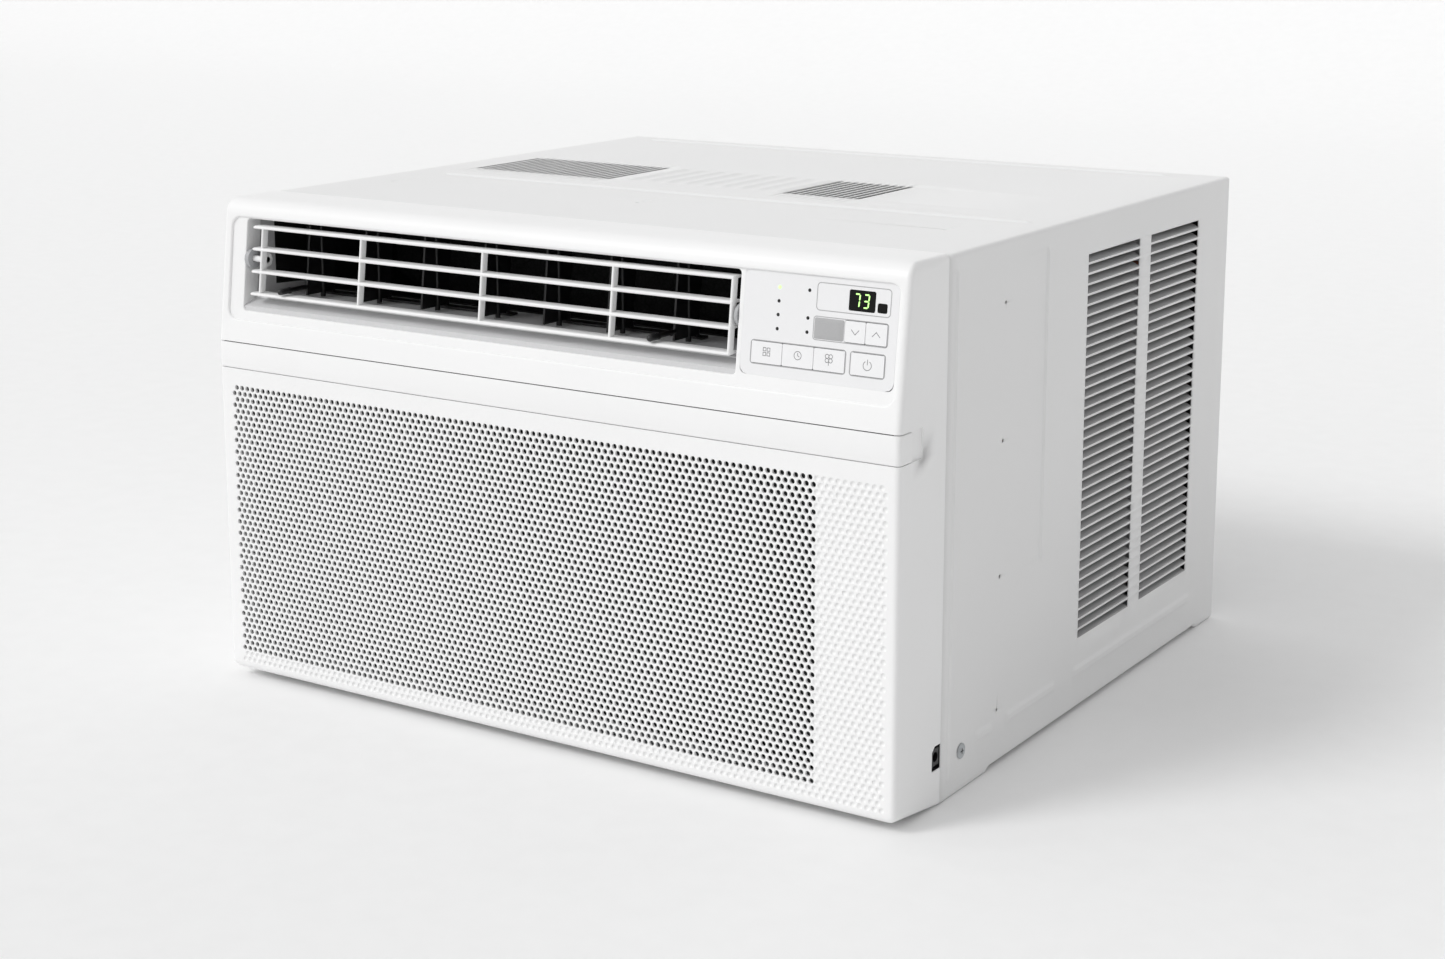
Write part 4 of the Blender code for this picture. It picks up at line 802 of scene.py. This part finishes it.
# The sleeve is one closed loop of side, roof, side and floor, carried from front to back. Each point moves
# out along the wall's own direction by the height of the bead that passes there.
def makeCabinet():
    yLines, zLines, xLines = cabinetLines()
    half, top, r, floorZ = cabinet["half"], cabinet["top"], cabinet["corner"], cabinet["floorZ"]
    quarter = np.radians(np.linspace(0, 90, 7))
    corner = lambda cx, cz, start: [(cx + r * math.cos(a + start), cz + r * math.sin(a + start),
                                     math.cos(a + start), math.sin(a + start)) for a in quarter]
    rows = corner(half - r, floorZ + r, -math.pi / 2) + [(half, z, 1, 0) for z in zLines]
    rows += corner(half - r, top - r, 0) + [(x, top, 0, 1) for x in xLines[::-1]]
    rows += corner(r - half, top - r, math.pi / 2) + [(-half, z, -1, 0) for z in zLines[::-1]]
    rows += corner(r - half, floorZ + r, math.pi)
    rows += [(x, floorZ, 0, -1) for x in np.linspace(r - half, half - r, 9)[1:-1]]
    x, z, nx, nz = np.array(rows).T
    y = yLines[:, None]
    side = (np.abs(nx) > 0.99) * np.ones_like(y)
    roof = (nz > 0.99) * np.ones_like(y)
    lift = np.zeros((len(yLines), len(x)))
    for centre, low, high in cabinet["sideBeads"]:
        lift += side * cabinet["bead"] * hump(y, centre, cabinet["beadHalf"]) * between(z, low, high, 0.005)
    for low, high in cabinet["lowRibs"]:
        lift += side * cabinet["bead"] * hump(z, cabinet["lowRibZ"], 0.0050) * between(y, low, high, 0.005)
    for centre, low, high in cabinet["topBeads"]:
        lift += roof * cabinet["bead"] * hump(y, centre, cabinet["beadHalf"]) * between(x, low, high, 0.004)
    low, high, count = vents["ribs"]
    for centre in np.linspace(low, high, count):
        lift += roof * vents["ribHeight"] * hump(x, centre, vents["ribHalf"]) * between(y, *vents["y"], 0.006)
    # the two feet stand lower than the floor between them
    foot0, foot1 = cabinet["footY"]
    foot = np.clip(np.maximum(foot0 - y, y - foot1) / cabinet["footRamp"], 0, 1)
    lowering = cabinet["footDrop"] * foot * np.clip((cabinet["linesZ"][0] - z) / r, 0, 1)
    points = np.stack([x + nx * lift, y + 0 * x, z + nz * lift - lowering], -1)
    # pointed ends of the roof slots
    keep = np.ones((len(yLines) - 1, len(x)), bool)
    nextX, nextZ, nextNz = np.roll(x, -1), np.roll(z, -1), np.roll(nz, -1)
    onRoof = (nz > 0.99) & (nextNz > 0.99)
    midX = (x + nextX) / 2
    midY = (yLines[1:] + yLines[:-1]) / 2
    inVent = (midY > vents["y"][0]) & (midY < vents["y"][1])
    for low, high, count in vents["banks"]:
        width = (high - low) / count
        phase = np.abs((midX - low) % width - width / 2)
        slots = onRoof & (midX > low) & (midX < high) & (phase < vents["halfSlot"])
        keep[np.ix_(inVent, slots)] = False
        tips = (nz > 0.99) & (x > low) & (x < high) & (np.abs((x - low) % width - width / 2) < 1e-5)
        points[np.ix_(np.isclose(yLines, vents["y"][0]), tips, [1])] -= vents["point"]
        points[np.ix_(np.isclose(yLines, vents["y"][1]), tips, [1])] += vents["point"]
    # louvre windows in both sides
    upright = (np.abs(nx) > 0.99) & (np.abs(np.roll(nx, -1)) > 0.99)
    midZ = (z + nextZ) / 2
    pitch = (louvres["z"][1] - louvres["z"][0]) / louvres["count"]
    windows = upright & (midZ > louvres["z"][0]) & (midZ < louvres["z"][1]) & (
        (midZ - louvres["z"][0]) % pitch < pitch - louvres["strip"])
    for low, high in louvres["columns"]:
        keep[np.ix_((midY > low) & (midY < high), windows)] = False
    # small screw holes, eight-sided
    made = []
    for on, spots in ((upright & (x > 0), holes["side"]), (upright & (x < 0), holes["side"]),
                      (onRoof, holes["top"])):
        for a, b in spots:
            centreY, centreU = (a, b) if spots is holes["side"] else (b, a)
            middle = midZ if spots is holes["side"] else midX
            rowsIn = np.abs(midY - centreY) < holes["radius"]
            columnsIn = on & (np.abs(middle - centreU) < holes["radius"])
            keep[np.ix_(rowsIn, columnsIn)] = False
            ys = np.flatnonzero(rowsIn)
            us = np.flatnonzero(columnsIn)
            if len(ys) and len(us):
                ya, yb, ua, ub = ys[0], ys[-1] + 1, us[0], us[-1] + 1
                for yc, yd, uc, ud, flip in ((ya, ya + 1, ua, ua + 1, False), (ya, ya + 1, ub, ub - 1, True),
                                             (yb, yb - 1, ua, ua + 1, True), (yb, yb - 1, ub, ub - 1, False)):
                    made.append(patch([[points[yc, uc], points[yc, ud]], [points[yd, uc], points[yd, uc]]],
                                      flip=flip))
    made.append(patch(points, closedColumns=True, keep=keep))
    # rounded rear edge and the flange round the rear opening
    rear, backY, rearRound = points[-1], cabinet["backY"], cabinet["rearRound"]
    rings = [rear]
    for turn in np.radians([22, 45, 68, 90]):
        inset = rearRound * (1 - math.cos(turn))
        ring = rear.copy()
        ring[:, 0] = np.clip(ring[:, 0], inset - half, half - inset)
        ring[:, 2] = np.clip(ring[:, 2], inset, top - inset)
        ring[:, 1] = backY - rearRound * (1 - math.sin(turn))
        rings.append(ring)
    wide, low, high = cabinet["rearOpening"]
    flange = rings[-1].copy()
    flange[:, 0] = np.clip(flange[:, 0], -wide, wide)
    flange[:, 2] = np.clip(flange[:, 2], low, high)
    rings.append(flange)
    made.append(patch(np.stack(rings), closedColumns=True))
    # louvre blades: hinged at the window's lower edge, curling inward towards the top
    t = np.linspace(0, 1, 6)
    blades = []
    for sign in (1, -1):
        for low, high in louvres["columns"]:
            for number in range(louvres["count"]):
                foot = louvres["z"][0] + number * pitch
                bladeX = sign * (half - louvres["inward"] * (0.55 * t + 0.45 * t * t))
                bladeZ = foot + louvres["rise"] * t
                blade = np.stack([np.stack([bladeX, low + louvres["endGap"] * t, bladeZ], -1),
                                  np.stack([bladeX, high - louvres["rearGap"] * t, bladeZ], -1)])
                blades.append(patch(blade, flip=sign < 0))
    # the blades' greyer coat is painted shade
    makePiece("cabinet_louvre_blades", blades, thinCoatedSteel, "cabinet",
              ("outer_cabinet",), wall=louvres["wall"])
    makePiece("cabinet_sleeve", made, powderCoatedSteel, "cabinet", ("outer_cabinet",),
              sharp=30, wall=cabinet["sheet"])
    # foam strips glued inside the rear edge close the gaps beside the condenser
    strips = [side for corners in cabinet["foam"] for side in slab(*corners)]
    makePiece("rear_foam_strips", strips, rubber, "cabinet", turnOut=True)
    # chassis screws: washer, domed pan head and a cross recess shown by two dark bars, painted shade in place
    # of the recess
    for side, sign in (("left", -1), ("right", 1)):
        low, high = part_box(f"cabinet_screw_{side}")
        middle = (low + high) / 2
        outside, radius = (high[0] if sign > 0 else -low[0]), (high[1] - low[1]) / 2
        deep, crown = outside - screw["deep"], outside - 0.00005
        profile = [(0, deep), (radius, deep), (radius, deep + 0.0004), (radius * screw["lip"], deep + 0.0005),
                   (radius * screw["head"], deep + 0.0006), (radius * screw["dome"], outside - 0.0002),
                   (radius * screw["crown"], crown), (0, crown)]
        makePiece(f"chassis_screw_{side}", [turned(profile, (0, middle[1], middle[2]), (sign, 0, 0), 32)],
                  galvanisedSteel, "cabinet", (f"cabinet_screw_{side}",), turnOut=True)
        reach, wide = radius * screw["reach"], radius * screw["wide"]
        x0, x1 = sorted((sign * outside, sign * (outside - 0.0001)))
        recessShadeBars = [slab((x0, middle[1] - a, middle[2] - b), (x1, middle[1] + a, middle[2] + b))
                for a, b in ((reach, wide), (wide, reach))]
        makePiece(f"chassis_screw_recess_shade_{side}", recessShadeBars[0] + recessShadeBars[1], blackAbs, "cabinet",
                  (f"cabinet_screw_{side}",), turnOut=True)
    print("cabinet made:", len(yLines), "by", len(x), "lines")


makeCabinet()


# ---- outlet grid ----
grid = {"across": (-0.2680, 0.1664), "slatZ": (0.3085, 0.3255, 0.3425, 0.3590), "thick": 0.0027,
        "tail": 0.0012, "depth": 0.0130, "frontY": -0.2742,
        "ribX": (-0.2585, -0.1600, -0.0460, 0.0680, 0.1651),
        "ribThick": 0.0021, "ribDepth": 0.0062, "axis": (-0.2660, 0.3340), "pin": 0.0024,
        "pinX": (-0.2750, 0.1698), "boss": 0.0052, "bossDepth": 0.0030}


# slat section: a round nose that tapers to a thin tail, carried across; ribs are the same nose carried upward
def makeGrid():
    t, d = grid["thick"] / 2, grid["depth"]
    nose = arcPoints((t, 0), (t, t), 270, 90, 9)
    section = np.concatenate([nose, [(d * 0.5, t * 0.9), (d, grid["tail"] / 2), (d, -grid["tail"] / 2),
                                     (d * 0.5, -t * 0.9)]])
    middleZ = grid["axis"][1]
    pieces = []
    for z in grid["slatZ"]:
        start = grid["frontY"] + (z - middleZ) * housing["lean"]
        xs = np.linspace(grid["across"][0] + 0.0008, grid["across"][1] - 0.0004, 7)
        ends = np.array([0.55, 0.9, 1, 1, 1, 0.9, 0.55])[:, None, None]
        xs[1], xs[-2] = xs[0] + 0.0006, xs[-1] - 0.0004
        shaped = section[None] * np.concatenate([np.ones_like(ends), ends], -1)
        points = np.stack([np.broadcast_to(xs[:, None], shaped.shape[:2]), start + shaped[..., 0],
                           z + shaped[..., 1]], -1)
        pieces.append(patch(points, closedColumns=True))
        half = len(section) // 2
        for ring in (points[0], points[-1]):
            pieces.append(patch(np.stack([ring[:half + 1], ring[half:][::-1]])))
    low, high = grid["slatZ"][0] - t * 0.6, grid["slatZ"][-1] + t * 0.6
    w = grid["ribThick"] / 2
    ribNose = arcPoints((w, 0), (w, w), 270, 90, 7)
    ribBack = [(grid["ribDepth"], w * 0.8), (grid["ribDepth"], -w * 0.8)]
    ribSection = np.concatenate([ribNose + (0.0004, 0), ribBack])
    for x in grid["ribX"]:
        zs = np.linspace(low, high, 5)
        ys = grid["frontY"] + (zs - middleZ) * housing["lean"]
        points = np.stack([x + 0 * zs[:, None] + ribSection[None, :, 1], ys[:, None] + ribSection[None, :, 0],
                           zs[:, None] + 0 * ribSection[None, :, 1]], -1)
        pieces.append(patch(points, closedColumns=True))
    pin = grid["pin"]
    for x0, x1 in ((grid["pinX"][0], grid["ribX"][0]), (grid["ribX"][-1], grid["pinX"][1])):
        pieces.append(turned([(0, x0), (pin - 0.0004, x0), (pin, x0 + 0.0004), (pin, x1), (0, x1)],
                             (0, *grid["axis"]), (1, 0, 0), 20))
    # boss on the end rib, a flat drum round the pivot
    x, boss, edge = grid["ribX"][0], grid["boss"], 0.0006
    start = x - grid["bossDepth"]
    pieces.append(turned([(0, start), (boss - edge, start), (boss, start + edge), (boss, x), (0, x)],
                         (0, *grid["axis"]), (1, 0, 0), 28))
    makePiece("outlet_grid", pieces, whiteAbs, "louvre", ("louvre_grid",), sharp=40,
              turnOut=True)


makeGrid()


# ---- finger levers ----
lever = {"z": 0.3131, "tipY": -0.2811, "startY": -0.2502, "neck": 0.0018, "head": 0.0024,
         "collar": (0.0085, 0.0093, 0.0099, 0.0106), "headEnd": 0.0125, "neckStart": 0.0140, "groove": 0.93,
         "at": {"left": (-0.2345, "vane_left_1"), "right": (0.1040, "vane_right_3")}}


# a round rod turned about its own axis: thin neck, a head with a groove round it and a rounded tip
def makeLevers():
    tip, neck, head = lever["tipY"], lever["neck"], lever["head"]
    dome = [(head * math.sin(a), tip + head * (1 - math.cos(a))) for a in np.radians([0, 20, 40, 60, 80, 90])]
    groove = zip((head, head * lever["groove"], head * lever["groove"], head), lever["collar"])
    profile = dome + [(r, tip + y) for r, y in groove]
    profile += [(head, tip + lever["headEnd"]), (neck, tip + lever["neckStart"]), (neck, lever["startY"]),
                (0, lever["startY"])]
    for side, (x, body) in lever["at"].items():
        rod = turned(profile, (x, 0, lever["z"]), (0, 1, 0), 28)
        makePiece(f"finger_lever_{side}", [rod], blackAbs, body, (f"air_lever_{side}",),
                  sharp=30, turnOut=True)
    print("grid and levers made")


makeLevers()


# ---- control panel ----
panel = {"lift": -0.0020, "ink": 0.00006, "line": 0.00065, "fine": 0.00050,
         "display": ((0.2303, 0.2835), (0.3447, 0.3612), 0.0018),
         "tempBlock": ((0.2290, 0.2512), (0.3254, 0.3392), 0.0012),
         "tempFrame": ((0.2290, 0.2829), (0.3254, 0.3393), 0.0012),
         "lowFrame": ((0.1824, 0.2532), (0.3052, 0.3195), 0.0015),
         "powerFrame": ((0.2578, 0.2823), (0.3052, 0.3195), 0.0015),
         "lamps": ((0.2010, 0.3561), (0.2010, 0.3471), (0.2010, 0.3381), (0.2010, 0.3289), (0.2237, 0.3561),
                   (0.2237, 0.3381), (0.2237, 0.3289)), "lampRadius": 0.0012, "lampHeight": 0.0003,
         "outside": 0.00065, "digits": ((0.2572, 0.3485, "abc"), (0.2640, 0.3485, "abcdg")),
         "keyLift": 0.0002}
# the signs on the keys: centre of each and the sizes of its strokes
signs = {"mode": (0.1941, 0.3130), "modeStep": 0.00155, "modeHalf": 0.00105, "timer": (0.2180, 0.3130),
         "timerRadius": 0.0027, "fan": (0.2415, 0.3136), "fanReach": 0.0019, "fanBlade": 0.00135,
         "fanStem": (0.3116, 0.3090), "power": (0.2701, 0.3120), "powerRadius": 0.0030,
         "down": (0.2595, 0.3338, 0.3307), "up": (0.2750, 0.3307, 0.3338), "arrowHalf": 0.0029}


# a thin raised line of ink: the line's two edges are offset sideways from its path by half its width
def inkLine(path, width, closed=False, lift=None):
    path = np.asarray(path, float)
    ahead = np.roll(path, -1, 0) - path
    behind = path - np.roll(path, 1, 0)
    if not closed:
        ahead[-1], behind[0] = behind[-1], ahead[0]
    ahead /= np.maximum(np.linalg.norm(ahead, axis=1, keepdims=True), 1e-9)
    behind /= np.maximum(np.linalg.norm(behind, axis=1, keepdims=True), 1e-9)
    along = ahead + behind
    along /= np.maximum(np.linalg.norm(along, axis=1, keepdims=True), 1e-9)
    wider = 1 / np.maximum(0.5, np.abs((along * ahead).sum(1, keepdims=True)))
    across = np.stack([-along[:, 1], along[:, 0]], -1) * wider * width / 2
    base = panel["lift"] if lift is None else lift
    top = base + panel["ink"]
    rings = [(path + across * share, height)
             for share, height in ((-1, base), (-0.8, top), (0.8, top), (1, base))]
    return patch(np.stack([onFace(p[:, 0], p[:, 1], h) for p, h in rings]), closedColumns=closed)


# a filled flat shape: its outline shrinks to its middle
def inkArea(loop, lift=None, height=None):
    loop = np.asarray(loop, float)
    middle = loop.mean(0)
    base = panel["lift"] if lift is None else lift
    top = base + (panel["ink"] if height is None else height)
    rings = [(loop, base), (middle + (loop - middle) * 0.985, top), (middle + (loop - middle) * 0.5, top),
             (middle + (loop - middle) * 0.0, top)]
    return patch(np.stack([onFace(p[:, 0], p[:, 1], h) for p, h in rings]), closedColumns=True, flip=True)


def circle(x, z, radius, count=28, start=0, end=360):
    turn = np.radians(np.linspace(start, end, count, endpoint=end - start < 360))
    return np.stack([x + radius * np.cos(turn), z + radius * np.sin(turn)], -1)


# seven-segment digit: each lit bar is a six-sided lozenge between two points, slanted a little
def digit(x, z, lit, wide=0.0036, tall=0.0084, bar=0.00095, lean=0.08):
    spots = {"a": ((0, 2), (1, 2)), "b": ((1, 1), (1, 2)), "c": ((1, 0), (1, 1)), "d": ((0, 0), (1, 0)),
             "e": ((0, 0), (0, 1)), "f": ((0, 1), (0, 2)), "g": ((0, 1), (1, 1))}
    made = []
    for letter in lit:
        (u0, v0), (u1, v1) = spots[letter]
        a = np.array([u0 * wide, v0 * tall / 2])
        b = np.array([u1 * wide, v1 * tall / 2])
        along = (b - a) / np.linalg.norm(b - a)
        side = np.array([-along[1], along[0]]) * bar / 2
        a, b = a + along * bar * 0.18, b - along * bar * 0.18
        near, far = a + along * bar / 2, b - along * bar / 2
        loop = np.array([a, near - side, far - side, b, far + side, near + side])
        loop[:, 0] += loop[:, 1] * lean
        made.append(inkArea(loop + (x, z), 0.00005 + panel["lift"], 0.00008))
    return made


def frameLine(spec, width):
    across, upright, radius = spec
    return inkLine(roundedLoop(across, upright, radius, 4, 7), width, closed=True)


def makePanelPrint():
    lines = []
    for key in ("display", "lowFrame", "powerFrame", "tempFrame"):
        ((x0, x1), (z0, z1), radius), by = panel[key], panel["outside"]
        lines.append(frameLine(((x0 - by, x1 + by), (z0 - by, z1 + by), radius + by), panel["line"]))
    makePiece("panel_outlines", lines, greyInk, "chassis")
    across, upright, radius = panel["tempBlock"]
    block = roundedLoop(across, upright, radius, 6, 5)
    makePiece("panel_grey_block", [inkArea(block)], greyInk, "chassis")
    lamps = []
    turn = np.radians([90, 70, 50, 30, 10, 0])
    dome = [(panel["lampRadius"] * math.sin(a), panel["lampHeight"] * math.cos(a)) for a in turn]
    for x, z in panel["lamps"]:
        place = onFace(x, z, panel["lift"])
        lamps.append(turned(dome, place, (0, -1, housing["lean"]), 18))
    makePiece("indicator_lamps", lamps[1:], blackInk, "chassis", turnOut=True)
    makePiece("indicator_lamp_lit", lamps[:1], litGreen, "chassis", turnOut=True)
    lit = [bar for spec in panel["digits"] for bar in digit(*spec)]
    makePiece("display_digits", lit, litGreen, "chassis")
    keyLift = panel["lift"] + panel["keyLift"]
    line, fine = panel["line"] * 0.8, panel["fine"]
    ink = lambda path, width=fine, closed=False: inkLine(path, width, closed, keyLift)
    square = lambda x, z, h: [(x - h, z - h), (x + h, z - h), (x + h, z + h), (x - h, z + h)]
    (x, z), step = signs["mode"], signs["modeStep"]
    mode = [ink(square(x + a * step, z + b * step, signs["modeHalf"]), fine, True)
            for a in (-1, 1) for b in (-1, 1)]
    x, z = signs["timer"]
    timer = [ink(circle(x, z, signs["timerRadius"]), fine, True),
             ink([(x, z + 0.0018), (x, z), (x + 0.0014, z - 0.0008)])]
    (x, z), reach = signs["fan"], signs["fanReach"]
    blades = [ink(circle(x + reach * math.cos(a), z + reach * math.sin(a), signs["fanBlade"], 16), fine, True)
              for a in np.radians([45, 135, 225, 315])]
    stem = [ink([(x, height) for height in signs["fanStem"]])]
    x, z = signs["power"]
    power = [ink(circle(x, z, signs["powerRadius"], 30, 120, 420), line),
             ink([(x, z + 0.0040), (x, z + 0.0004)], line)]
    side = signs["arrowHalf"]
    down, up = ([ink([(x - side, ends), (x, tip), (x + side, ends)], line)]
                for x, ends, tip in (signs["down"], signs["up"]))
    for name, made in (("mode_key", mode), ("timer_key", timer), ("fan_speed_key", blades + stem),
                       ("power_key", power), ("temp_down_key", down), ("temp_up_key", up)):
        makePiece(name + "_mark", made, markInk, name)
    print("panel print made")


makePanelPrint()


# ---- heat-exchanger detail ----
tube = {"radius": 0.0036, "plate": 0.0019, "bulge": 0.42, "wave": 0.00038}
coils = {"condenser": {"node": "condenser_coil", "pitch": 0.0021, "thick": 0.00022, "rows": (0.33, 0.72),
                       "tubes": 12, "sides": (1,)},
         "evaporator": {"node": "evaporator_coil", "pitch": 0.0021, "thick": 0.00022, "rows": (0.3, 0.7),
                        "tubes": 9, "sides": (-1, 1)}}


# each fin is a thin corrugated plate: its two faces follow the same zigzag from front to back
def makeCoil(name, spec):
    low, high = (np.array(corner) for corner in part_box(spec["node"]))
    count = int((high[0] - low[0] - spec["thick"]) / spec["pitch"]) + 1
    x0 = np.linspace(low[0] + spec["thick"] / 2 + 0.0004, high[0] - spec["thick"] / 2 - 0.0004, count)
    v = np.linspace(0, 1, 7)
    y = low[1] + v * (high[1] - low[1])
    zig = tube["wave"] * np.array([0, 1, -1, 1, -1, 1, 0])
    half = spec["thick"] / 2
    ringX = np.concatenate([zig - half, (zig + half)[::-1]])
    ringY = np.concatenate([y, y[::-1]])
    z = np.array([low[2], high[2]])
    points = np.stack(np.broadcast_arrays(x0[:, None, None] + ringX[None, None, :], ringY[None, None, :],
                                          z[None, :, None]), -1)
    per = 2 * len(ringX)
    quads = gridQuads(2, len(ringX), False, True, None)
    caps = np.array([[i, i + 1, len(ringX) - 2 - i, len(ringX) - 1 - i] for i in range(6)])
    quads = np.concatenate([quads, caps[:, ::-1], caps + len(ringX)])
    quads = (quads[None] + (np.arange(count) * per)[:, None, None]).reshape(-1, 4)
    makePiece(name + "_fins", [(points.reshape(-1, 3), quads)], finAluminium, "chassis",
              (spec["node"],), turnOut=True)
    # hairpin bends: a flattened half circle of tube stands out from the end plate and joins two rows of tube
    bends = []
    turn = np.linspace(0, np.pi, 9)
    ring = np.linspace(0, 2 * np.pi, 10, endpoint=False)
    gap = (high[2] - low[2]) / spec["tubes"]
    for side, end in (at for at in ((-1, low[0]), (1, high[0])) if at[0] in spec["sides"]):
        for row, share in enumerate(spec["rows"]):
            for number in range(spec["tubes"] // 2):
                z0 = low[2] + gap * (2 * number + 0.5 + (1 if side > 0 else 0) + 0.25 * row)
                if z0 + gap > high[2] - 0.004:
                    continue
                depth = low[1] + share * (high[1] - low[1])
                centre = np.array([end + side * tube["plate"], depth, z0 + gap / 2])
                out = np.stack([side * np.sin(turn), 0 * turn, np.cos(turn)], -1)
                middle = centre + out * (gap / 2) * (tube["bulge"], 1, 1)
                hoop = (np.cos(ring)[None, :, None] * out[:, None]
                        + np.sin(ring)[None, :, None] * np.array([0, 1.0, 0]))
                body = middle[:, None] + tube["radius"] * hoop
                bends.append(patch(body, closedColumns=True))
    makePiece(name + "_bends", bends, copperTube, "chassis", turnOut=True)
    print(name, "made:", count, "fins,", len(bends), "bends")


for coilName, coilSpec in coils.items():
    makeCoil(coilName, coilSpec)


# ---- finishes of the parts kept as they are ----
finishes = {
    "moulded grey": (greyPolypropylene, ["pivot_clip_left", "pivot_clip_right", "fan_shroud"]),
    "duct": (linedAndShadedDuct, ["outlet_duct"]),
    "moulded black": (blackAbs, ["filter_frame", "cord_gland", "tie_bar_left", "tie_bar_right",
                                 "blower_wheel", "condenser_fan"]),
    "fascia": (fasciaAbs, ["control_panel"]),
    "keys": (keyAbs, ["mode_button", "timer_button", "fan_speed_button", "power_button", "temp_down_button",
                      "temp_up_button"]),
    "window": (acrylic, ["display_window", "remote_sensor_window"]),
    "galvanised": (galvanisedSteel, ["base_pan", "control_box", "motor_bracket", "bulkhead", "fan_shaft",
                                     "evaporator_end_plate_left", "evaporator_end_plate_right",
                                     "condenser_end_plate_left", "condenser_end_plate_right",
                                     "run_capacitor", "fan_motor"]),
    "copper": (copperTube, ["suction_pipe", "discharge_pipe", "capillary_tube", "room_temperature_sensor"]),
    "enamel": (blackEnamel, ["compressor", "accumulator"]),
    "rubber": (rubber, ["compressor_grommet_1", "compressor_grommet_2", "compressor_grommet_3",
                        "drain_plug"]),
    "polystyrene": (polystyrene, ["air_guide"]),
    "net": (filterNet, ["filter_mesh"]),
    "board": (boardGreen, ["control_board"]),
}
for nodeName in cad:
    if nodeName.startswith("vane_"):
        finishes["moulded black"][1].append(nodeName)
for finish, names in finishes.values():
    for nodeName in names:
        node = cad[nodeName]
        node.data.materials.clear()
        node.data.materials.append(finish)
print("CAD parts finished")


# ---- room ----
room = {"floor": ("#FAFAFA", "#F6F6F6"), "front": -6.0, "bendAt": 4.0, "bend": 2.5, "rise": 7.0, "half": 8.0,
        "sky": (0.03, 0.90), "skyFrom": (-0.58, -0.42, 0.70), "sun": 1.00, "sunSpread": 20.0,
        "sunFrom": (-0.42, -0.64, 0.64)}


def makeRoom():
    finish = grainedFinish("matt_paper_floor", {"Roughness": 0.9, "Specular IOR Level": 0.1}, 0.025, 3.0,
                           room["floor"])
    # floor that curves up far behind: a profile in side view carried sideways
    turn = np.radians(np.linspace(0, 90, 16))
    bendAt, bend = room["bendAt"], room["bend"]
    curve = np.stack([bendAt + bend * np.sin(turn), bend - bend * np.cos(turn)], -1)
    profile = np.concatenate([[(room["front"], 0.0)], curve, [(bendAt + bend, room["rise"])]])
    xs = np.linspace(-room["half"], room["half"], 9)
    points = np.stack(np.broadcast_arrays(xs[None, :], profile[:, 0][:, None], profile[:, 1][:, None]), -1)
    vertices, quads = patch(points)
    mesh = bpy.data.meshes.new("studio_floor")
    mesh.from_pydata(vertices.tolist(), [], quads.tolist())
    mesh.shade_smooth()
    mesh.materials.append(finish)
    floor = bpy.data.objects.new("studio_floor", mesh)
    floor.location.z = float(cadLow[2]) - 0.0002
    bpy.context.scene.collection.objects.link(floor)
    world = bpy.data.worlds.new("studio_air")
    world.use_nodes = True
    tree = world.node_tree
    background = tree.nodes["Background"]
    background.inputs["Color"].default_value = (1.0, 1.0, 1.0, 1.0)
    toward = tuple(Vector(room["skyFrom"]).normalized())
    heading = addNode(tree, "ShaderNodeTexCoord")
    share = addNode(tree, "ShaderNodeVectorMath", {"operation": "DOT_PRODUCT", 1: toward},
                    {0: heading.outputs["Generated"]})
    glow = addNode(tree, "ShaderNodeMapRange", {1: -1.0, 2: 1.0, 3: room["sky"][0], 4: room["sky"][1]},
                   {0: share.outputs["Value"]})
    tree.links.new(glow.outputs[0], background.inputs["Strength"])
    bpy.context.scene.world = world
    lampData = bpy.data.lights.new("window_light", "SUN")
    lampData.energy = room["sun"]
    lampData.angle = math.radians(room["sunSpread"])
    lamp = bpy.data.objects.new("window_light", lampData)
    lamp.rotation_mode = "QUATERNION"
    lamp.rotation_quaternion = Vector(room["sunFrom"]).to_track_quat("Z", "Y")
    bpy.context.scene.collection.objects.link(lamp)
    bpy.context.scene.view_settings.view_transform = "Standard"


makeRoom()
